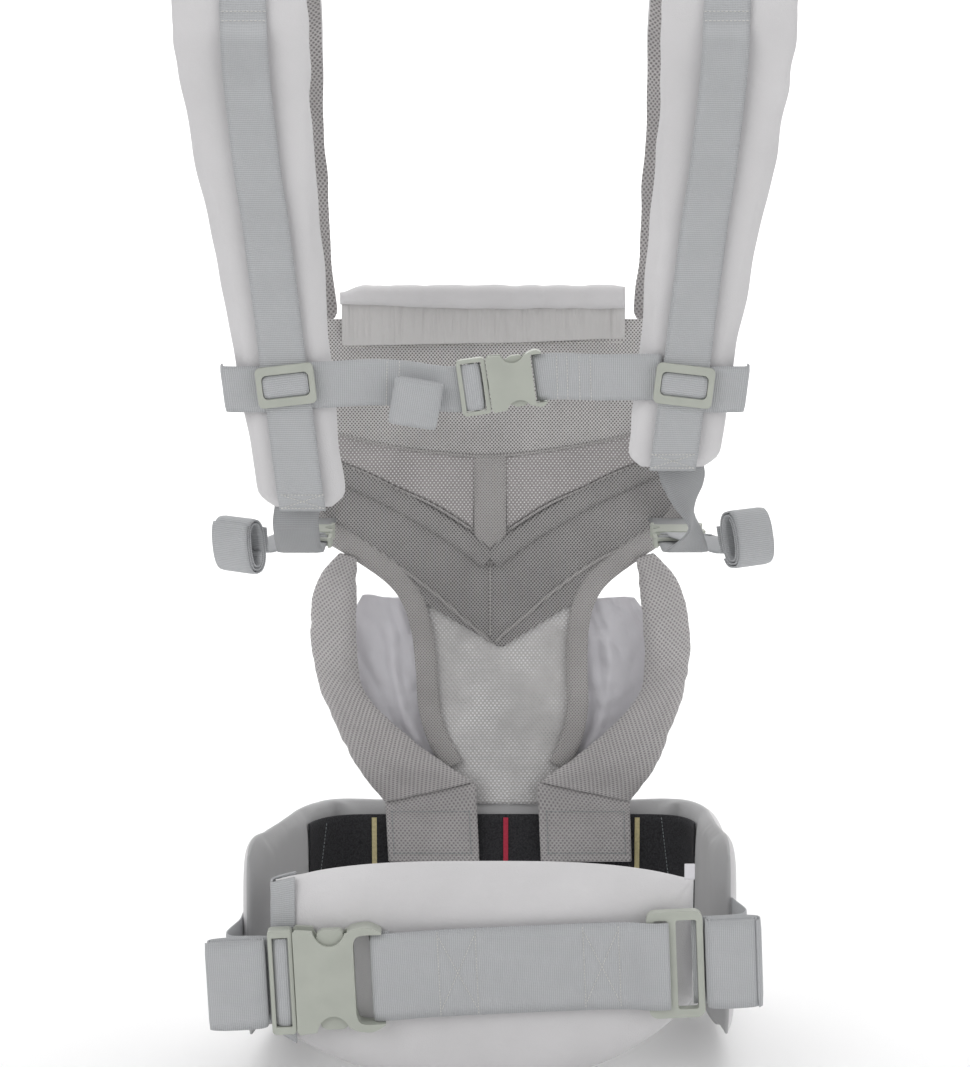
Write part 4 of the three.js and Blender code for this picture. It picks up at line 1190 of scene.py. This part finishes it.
def makeRolled(name, s):
    # the coil lies in plan, its width runs up the tilted axis
    tilt = math.radians(s["tilt"])
    yaw = math.radians(s.get("yaw", 0.0))
    along = np.array([math.cos(tilt) * math.cos(yaw), math.sin(yaw), -math.sin(tilt) * math.cos(yaw)])
    up = np.array([math.sin(tilt), 0, math.cos(tilt)])
    depth = np.cross(up, along)
    path = [np.asarray(s["centre"]) + along * p + depth * q
            for p, q in spiral(s["a"], s["b"], s["turns"], s["start"])]
    obj = tape(f"{name}_tape", path, up, s["width"], step=1.4, facing=(0, 0, 0))
    cleanNormals(obj)
    return finish(obj, s["body"], "webbing", name)


for name, s in rolled.items():
    makeRolled(name, s)

chest = {"y": -112.95, "z": 331.0, "tilt": 8.0, "buckleX": 2.0}
waistTapes = {"y": -119.8, "z": 5.0, "tilt": 2.6}


def onTilt(x, y, z, centreX, centreZ, tilt):
    a = math.radians(tilt)
    return (centreX + (x - centreX) * math.cos(a) - z * math.sin(a), y,
            centreZ + (x - centreX) * math.sin(a) + z * math.cos(a))


def makeChestTapes():
    c = chest
    width = carrier["strapWeb"]
    lean = math.radians(c["tilt"])
    tilted = (-math.sin(lean), 0, math.cos(lean))

    def near(x, y=0.0):
        # a point on the buckle's tilted middle line
        return (x, c["y"] + y, c["z"] + (x - c["buckleX"]) * math.tan(lean))

    def level(rows):
        return [(x, c["y"] + y, c["z"] + z) for x, y, z in rows]

    left = level([(-94.5, 0.2, -0.5), (-80, 0.2, 0.2), (-60, 0.6, 1.2), (-42, 0.8, 0.2), (-28, 0.6, -1.8)])
    left += [near(x, y) for x, y in ((-17, 0.4), (-12.6, 0.2), (-10, -2.2), (-6.0, -2.9), (-2.8, -2.0),
                                     (-1.6, 1.0))]
    tips = [(0, 0, 1)] * 4 + [(-0.03, 0, 1)] + [tilted] * 6
    obj = tape("chest_tape_left", left, tips, width, cup=0.2, step=1.4)
    finish(obj, "chest_plug", "webbing", "chest_webbing_left")
    right = [near(26.4, 0.3), near(31, -0.2)]
    right += level([(42, -0.5, 4.6), (60, -0.5, 3.9), (80, 0.2, 4.0), (94.5, 0.2, 4.0)])
    tips = [tilted, tilted, (-0.06, 0, 1), (0, 0, 1), (0, 0, 1), (0, 0, 1)]
    obj = tape("chest_tape_right", right, tips, width, cup=0.3)
    finish(obj, "chest_strap", "webbing", "chest_webbing_right")
    for sign, side in ((-1, "left"), (1, "right")):
        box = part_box(f"strap_wrap_{side}")
        outer = (box[0][0] if sign < 0 else box[1][0]) / mm
        middleZ = (box[0][2] + box[1][2]) / 2 / mm
        lean = math.radians(carrier["strapLean"]) * sign
        x0 = sign * (carrier["strapX"] + 11.5)
        out = outer - sign * 1.2
        path = [(x0, c["y"], middleZ)]
        path += [(out - sign * x, c["y"] + y, middleZ)
                 for x, y in ((6, 0.1), (2, 1.2), (0.6, 4.2), (0.4, 14))]
        obj = tape(f"strap_wrap_tape_{side}", path, (math.sin(lean), 0, math.cos(lean)), width, step=1.2,
                   facing=(sign, -1, 0))
        finish(obj, f"chest_slider_{side}", "webbing", f"strap_wrap_{side}")
        makeSliderBulge(sign, side)


def makeSliderBulge(sign, side):
    # the shoulder webbing rides over the slider's hidden bar
    lean = math.radians(carrier["strapLean"]) * sign
    up = np.array([math.sin(lean), 0, math.cos(lean)])
    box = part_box(f"chest_slider_{side}")
    centre = np.array([sign * carrier["strapX"], box[0][1] / mm, (box[0][2] + box[1][2]) / 2 / mm])
    fold = ((-8.4, 4.4), (-6.6, 3.2), (-4.6, 1.2), (-2, 0.5), (1.5, 0.5), (4.2, 1.2), (6.4, 3.2),
            (8.4, 4.4))
    path = [centre + up * z + np.array([0, y, 0]) for z, y in fold]
    across = (math.cos(lean), 0, -math.sin(lean))
    obj = tape(f"slider_fold_{side}", path, across, carrier["strapWeb"] - 0.6, step=0.9)
    finish(obj, f"chest_slider_{side}", "webbing")


def makeWaistTapes():
    w = waistTapes
    lean = math.radians(w["tilt"])
    tip = (-math.sin(lean), 0, math.cos(lean))

    def place(points):
        return [onTilt(x, y + w["y"], 0, 0, w["z"], w["tilt"]) for x, y in points]

    crossing = place([(-52, 3.2), (-57, 3.0), (-60.6, 2.2), (-62.4, 0.2), (-61.4, -2.0), (-57.5, -2.8),
                      (-46.0, -1.4), (-30.0, 0.4), (0, 1.2), (30, 1.2), (64, 0.8), (80, -1.0), (90, -4.4),
                      (97, -5.4), (102, -5.0)])
    obj = tape("waist_tape", crossing, tip, carrier["waistWeb"], cup=0.25, step=1.6)
    finish(obj, "root", "webbing", "waist_webbing")
    for sign, side in ((-1, "left"), (1, "right")):
        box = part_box(f"waist_webbing_{side}")
        far = (box[0][0] if sign < 0 else box[1][0]) / mm + (0.9 * -sign)
        back = box[1][1] / mm - w["y"]
        if sign < 0:
            start = [(-107.6, 1.0), (-108.8, -2.6), (-111.6, -3.2), (-114.6, -2.4), (-117.0, 0.6),
                     (-120.0, 3.4)]
        else:
            start = [(115.0, 4.4), (122.0, 4.5)]
        turn = ((14.0, 4.8), (5.0, 6.2), (1.4, 10.5), (1.6, 18.0), (6.5, back - 14), (7.3, back - 1))
        path = place(start + [(far - sign * x, y) for x, y in turn])
        obj = tape(f"waist_tape_{side}", path, tip, carrier["waistWeb"], step=1.5, facing=(0, 0, 0))
        cleanNormals(obj)
        finish(obj, "waist_plug" if sign < 0 else "root", "webbing", f"waist_webbing_{side}")


makeChestTapes()
makeWaistTapes()

sides = {"x": {"left": -103.0, "right": 112.0}, "z": 229.0, "y": -10.0, "body": 24.0,
         "lean": {"left": 12.0, "right": -22.0}, "startTurn": {"left": 0.1, "right": 0.35}}


def makeSideTapes(side):
    s = sides
    sign = -1 if side == "left" else 1
    x = s["x"][side]
    width = carrier["strapWeb"]
    end = strap["end"][side]
    y = s["y"]
    weave = ((3.2, -0.8), (5, 2.0), (8, 2.6), (11, 1.8), (14.5, -0.1), (22, 0))
    up = [(x, y - depth, s["z"] + z) for depth, z in weave]
    up += [(x, -50, s["z"] + 0.5), (x, -68, s["z"] + 3), (x, -86, s["z"] + 11), (x, -98, end - 13),
           (x, -101.5, end - 6.5), (x * 0.985, -102.5, end + 4)]
    wide = [(1, 0, 0)] * len(up)
    if side == "right":
        # folded towards its outer edge on the way up
        up[6:] = [(x, -50, s["z"] + 0.5), (x, -66, s["z"] + 3), (x, -80, s["z"] + 11),
                  (x + 1, -92, s["z"] + 25), (x - 2, -99, end - 14), (x - 5, -102, end - 3),
                  (x - 7, -102.5, end + 5)]
        wide = [(1, 0, 0)] * 7 + [(1, 0.15, 0), (0.75, 0.65, 0.15), (0.15, 0.95, 0.3), (0.7, 0.6, 0.3),
                                  (1, 0.12, 0.25), (1, 0, 0.2)]
    # the darker webbing copy is painted shade on this tape
    obj = tape(f"side_tape_{side}", up, wide, width, mat="shadedWebbing", step=1.6, facing=(0, 0, 0))
    cleanNormals(obj)
    # sewn to the strap at its upper end, so that end stays when the plug moves
    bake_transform(obj)
    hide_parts(f"side_webbing_{side}")
    socketY = y + s["body"] + 0.8
    down = [(x, socketY, s["z"]), (x, socketY + 14, s["z"]), (x, 70, s["z"] - 4), (x, 91.5, s["z"] - 6)]
    # the darker webbing copy is painted shade on this tape
    obj = tape(f"panel_tape_{side}", down, (1, 0, 0), width, mat="shadedWebbing", facing=(0, 0, 0))
    cleanNormals(obj)
    finish(obj, "root", "webbing", f"panel_webbing_{side}")
    # the spare end, rolled up beside the buckle with its coil turned towards the back
    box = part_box(f"side_roll_{side}")
    centre = [(box[0][k] + box[1][k]) / 2 / mm for k in range(3)]
    turn = math.radians(35)
    lean = math.radians(s["lean"][side])
    out = np.array([sign * math.cos(turn), math.sin(turn), 0])
    up = np.array([sign * math.sin(lean), 0, math.cos(lean)])
    flat = np.cross(up, out)
    flat /= np.linalg.norm(flat)
    long = np.cross(out, flat)
    path = [np.asarray(centre) + long * p + flat * q
            for p, q in spiral(16.2, 8.6, 2.6, s["startTurn"][side], step=1.8, square=0.8)]
    # the short run from the plug to the roll
    near = flat if flat[1] > 0 else -flat
    meet = np.asarray(centre) + near * 10.2
    run = [(x + sign * 0.5, y - 10.5, s["z"] + 4.6), (x + sign * 4, y - 16, s["z"] + 4.9),
           (x + sign * 9, y - 22.5, s["z"] + 4.2), tuple(meet - long * 7 + near * 2.2), tuple(meet),
           tuple(meet + long * 8)]
    turnRun = [(1, 0, 0), (0.97, -0.25 * sign, 0)] + [tuple(sign * out)] * 4
    obj = tape(f"side_tail_{side}", run, turnRun, width * 0.98, step=1.5, facing=(0, 0, 0))
    cleanNormals(obj)
    finish(obj, f"side_plug_{side}", "webbing")
    obj = tape(f"side_roll_tape_{side}", path, out, width, step=1.3, facing=(0, 0, 0))
    cleanNormals(obj)
    finish(obj, f"side_plug_{side}", "webbing", f"side_roll_{side}")


def makeLoopTag():
    low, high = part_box("loop_tag")
    x = (low[0] + high[0]) / 2 / mm
    y0, z0, y1, z1 = low[1] / mm, low[2] / mm, high[1] / mm, high[2] / mm
    path = [(x, y0 + 0.4, z0), (x, y0 + 0.4, z1 - 1.2), (x, (y0 + y1) / 2, z1 - 0.4),
            (x, y1 - 0.4, z1 - 1.2), (x, y1 - 0.4, z0)]
    obj = tape("loop_tag_tape", path, (1, 0, 0), (high[0] - low[0]) / mm - 0.2, mat="liner", thick=0.7,
               step=0.8, facing=(0, 0, 0))
    cleanNormals(obj)
    finish(obj, "root", "liner", "loop_tag")


for side in ("left", "right"):
    makeSideTapes(side)
makeLoopTag()
print("tapes made")


# ---- moulded hardware: the frame's own solids with softened edges ---------------------------

# join in metres; angles in degrees, flat for faces that merge and sharp for edges that round over
moulded = {"join": 2e-6, "flat": 2, "sharp": 28, "segments": 3}
# radius of the softened edges, in mm
softEdges = {
    "waist_buckle_socket": 0.9, "waist_buckle_plug": 0.5, "waist_adjuster": 0.8,
    "waist_buckle_arm_a": 0.5, "waist_buckle_arm_b": 0.5,
    "chest_buckle_socket": 0.6, "chest_buckle_plug": 0.35,
    "chest_buckle_arm_a": 0.35, "chest_buckle_arm_b": 0.35,
    "chest_slider_left": 0.5, "chest_slider_right": 0.5,
}
for side in ("left", "right"):
    for piece, radius in (("socket", 0.5), ("plug", 0.35), ("arm_a", 0.3), ("arm_b", 0.3)):
        softEdges[f"side_buckle_{side}_{piece}"] = radius


def nodeBody(node):
    for body, nodes in frame["record"]["behaviour"]["bodies"].items():
        if node in nodes:
            return body
    return "root"


def softenNode(node, radius):
    source = bpy.data.objects[node]
    mesh = source.data.copy()
    mesh.name = f"{node}_moulded"
    obj = bpy.data.objects.new(f"{node}_moulded", mesh)
    bpy.context.collection.objects.link(obj)
    bm = bmesh.new()
    bm.from_mesh(mesh)
    bmesh.ops.remove_doubles(bm, verts=bm.verts, dist=moulded["join"])
    bmesh.ops.dissolve_limit(bm, angle_limit=math.radians(moulded["flat"]), verts=bm.verts, edges=bm.edges)
    bm.to_mesh(mesh)
    bm.free()
    bevel = obj.modifiers.new("Bevel", "BEVEL")
    bevel.width = radius * mm
    bevel.segments = moulded["segments"]
    bevel.limit_method = "ANGLE"
    bevel.angle_limit = math.radians(moulded["sharp"])
    bevel.use_clamp_overlap = True
    applyModifiers(obj)
    obj.data.materials.clear()
    obj.data.materials.append(looks["plastic"])
    obj.data.polygons.foreach_set("use_smooth", [True] * len(obj.data.polygons))
    weighted = obj.modifiers.new("WeightedNormal", "WEIGHTED_NORMAL")
    weighted.keep_sharp = True
    applyModifiers(obj)
    return finish(obj, nodeBody(node), "buckle_plastic", node)


for node, radius in softEdges.items():
    softenNode(node, radius)
print("hardware made")

keptNodes = {"centre_mark": "redThread", "width_mark_left": "creamThread",
             "width_mark_right": "creamThread", "strap_snap": "metal"}
for node, look in keptNodes.items():
    mesh = bpy.data.objects[node].data
    mesh.materials.clear()
    mesh.materials.append(looks[look])


# ---- stitch rows ---------------------------------------------------------------------------

# each kind of row: spacing and length of the stitches and radius of the thread in mm, and the thread
stitches = {
    "bar": {"spacing": 1.7, "length": 1.1, "radius": 0.2},
    "end": {"spacing": 1.8, "length": 1.1, "radius": 0.2},
    "top": {"spacing": 2.2, "length": 1.3, "radius": 0.22},
    "tab": {"spacing": 1.9, "length": 1.3, "radius": 0.22, "thread": "greyThread"},
    "seam": {"spacing": 2.3, "length": 1.4, "radius": 0.24, "count": 60},
    "strip": {"spacing": 2.2, "length": 1.4, "radius": 0.22, "thread": "greyThread"},
    "waistBoxes": ((-25.5, -4.5, 23.4), (55.0, 74.5, 22.5)), "boxSlope": 0.86,
    "chestLeft": (-53.0, -46.4), "chestRight": (39.0, 44.5, 51.0, 57.0),
    "strapHalf": 11, "strapEnd": (1.6, 9.4), "strapTop": (523.0, 528.0),
    "tabCorners": ((-72, 12), (-24, 12), (-24, 39), (-72, 39)),
    "hoodSeam": ((-84, 328.0), (82, 331.2)), "strips": ((-98.0, -5.0), (110.0, 5.0)), "stripZ": (33, -8),
}
# where the rows start before they are laid on the cloth, as y in mm
startY = {"waist": -150, "strap": -160, "panel": 40, "strip": 30}


def sewOn(name, cloth, rows, body, kind):
    sew(name, bpy.data.objects[cloth], rows, body, **stitches[kind])


def sewWaist():
    rows = []
    slope = stitches["boxSlope"]
    for left, right, high in stitches["waistBoxes"]:
        low = -high
        middle = (left + right) / 2
        rows += [(left, low, left, high), (right, low, right, high), (left + 1, high * slope, middle, 0),
                 (middle, 0, right - 1, high * slope), (left + 1, low * slope, middle, 0),
                 (middle, 0, right - 1, low * slope)]
    w = waistTapes
    rows = [[onTilt(x, startY["waist"], z, 0, w["z"], w["tilt"]) for x, z in (row[:2], row[2:])]
            for row in rows]
    sewOn("waist_stitches", "waist_tape", rows, "root", "bar")


def sewChest():
    y, z = startY["waist"], chest["z"]
    rows = [((x, y, z - 11), (x + 0.6, y, z + 12)) for x in stitches["chestLeft"]]
    sewOn("chest_stitches_left", "chest_tape_left", rows, "chest_plug", "bar")
    rows = [((x, y, z - 8), (x - 0.8, y, z + 15)) for x in stitches["chestRight"]]
    sewOn("chest_stitches_right", "chest_tape_right", rows, "chest_strap", "bar")


def sewSide(side, sign):
    y, half = startY["strap"], stitches["strapHalf"]
    end = strap["end"][side]
    x = sign * webX(end)
    z0, z1 = [end + z for z in stitches["strapEnd"]]
    rows = [((x - half, y, a), (x + half, y, b)) for a, b in ((z0, z0), (z1, z1), (z0, z1), (z1, z0))]
    sewOn(f"strap_end_stitches_{side}", f"strap_tape_{side}", rows, "root", "end")
    x = sign * webX(stitches["strapTop"][0])
    rows = [((x - half, y, z), (x + half, y, z)) for z in stitches["strapTop"]]
    sewOn(f"strap_top_stitches_{side}", f"strap_tape_{side}", rows, "root", "top")
    corners = [(u + drift(z) if sign < 0 else drift(z) - u, startY["panel"], z)
               for u, z in stitches["tabCorners"]]
    rows = list(zip(corners, corners[1:] + corners[:1]))
    sewOn(f"tab_stitches_{side}", f"leg_tab_cloth_{side}", rows, f"leg_{side}", "tab")


def sewAll():
    sewWaist()
    sewChest()
    for side, sign in (("left", -1), ("right", 1)):
        sewSide(side, sign)
    seam = [tuple((x, startY["panel"], z) for x, z in stitches["hoodSeam"])]
    sewOn("hood_seam_stitches", "panel_cloth", seam, "root", "seam")
    top, bottom = stitches["stripZ"]
    y = startY["strip"]
    rows = [((x, y, top), (x + shift, y, bottom)) for x, shift in stitches["strips"]]
    sewOn("strip_stitches", "hook_tape", rows, "root", "strip")


sewAll()
print("stitches sewn")


# ---- stage, light and camera ---------------------------------------------------

# elevation in degrees, lens in mm, the rest in metres
view = {"elevation": 10.0, "distance": 1.70, "targetZ": 0.230, "lens": 98.9, "floor": -0.0665,
        "half": 7, "bendStart": 2.0, "bend": 2.5}


def makeStage():
    angle = math.radians(view["elevation"])
    camera = bpy.data.cameras.new("camera")
    camera.lens = view["lens"]
    camera.sensor_width = 36.0
    camera.clip_start = 0.05
    cameraObject = bpy.data.objects.new("camera", camera)
    bpy.context.collection.objects.link(cameraObject)
    cameraObject.location = (0, -view["distance"] * math.cos(angle),
                             view["targetZ"] + view["distance"] * math.sin(angle))
    cameraObject.rotation_euler = (math.pi / 2 - angle, 0, 0)
    bpy.context.scene.camera = cameraObject

    paper, _, _, shader = newMaterial("palePaper")
    setInputs(shader, {"Base Color": (0.93, 0.93, 0.93, 1), "Roughness": 0.9})
    half, start, bend = view["half"], view["bendStart"], view["bend"]
    rows = [(-6, 0), (-3, 0), (0, 0), (start, 0)]
    rows += [(start + bend * math.sin(a), bend * (1 - math.cos(a)))
             for a in np.linspace(0, math.pi / 2, 12)[1:]]
    rows += [(start + bend, 6.5)]
    verts = [(x, y, z + view["floor"]) for y, z in rows for x in (-half, half)]
    faces = [(2 * i, 2 * i + 1, 2 * i + 3, 2 * i + 2) for i in range(len(rows) - 1)]
    mesh = bpy.data.meshes.new("backdrop")
    mesh.from_pydata(verts, [], faces)
    mesh.materials.append(paper)
    mesh.polygons.foreach_set("use_smooth", [True] * len(mesh.polygons))
    backdrop = bpy.data.objects.new("backdrop", mesh)
    bpy.context.collection.objects.link(backdrop)

    lamps = {
        "keyLight": {"energy": 27, "size": 2.2, "at": (-1.9, -2.3, 1.9)},
        "fillLight": {"energy": 15, "size": 2.4, "at": (2.3, -2.0, 1.1)},
        "topLight": {"energy": 13.5, "size": 2.2, "at": (0.2, 0.5, 2.8)},
        "backdropLight": {"energy": 140, "size": 3.0, "at": (0.0, 2.0, 3.6)},
    }
    for name, lamp in lamps.items():
        light = bpy.data.lights.new(name, "AREA")
        light.energy = lamp["energy"]
        light.size = lamp["size"]
        obj = bpy.data.objects.new(name, light)
        bpy.context.collection.objects.link(obj)
        obj.location = lamp["at"]
        aim = Vector((0, 0.1, 0.25)) if name != "backdropLight" else Vector((0, 4.4, 0.9))
        obj.rotation_euler = (aim - Vector(lamp["at"])).to_track_quat("-Z", "Y").to_euler()
    world = bpy.context.scene.world or bpy.data.worlds.new("studio")
    bpy.context.scene.world = world
    world.use_nodes = True
    world.node_tree.nodes["Background"].inputs["Color"].default_value = (1, 1, 1, 1)
    world.node_tree.nodes["Background"].inputs["Strength"].default_value = 0.5
    bpy.context.scene.view_settings.view_transform = "Standard"


makeStage()


print("scene finished")
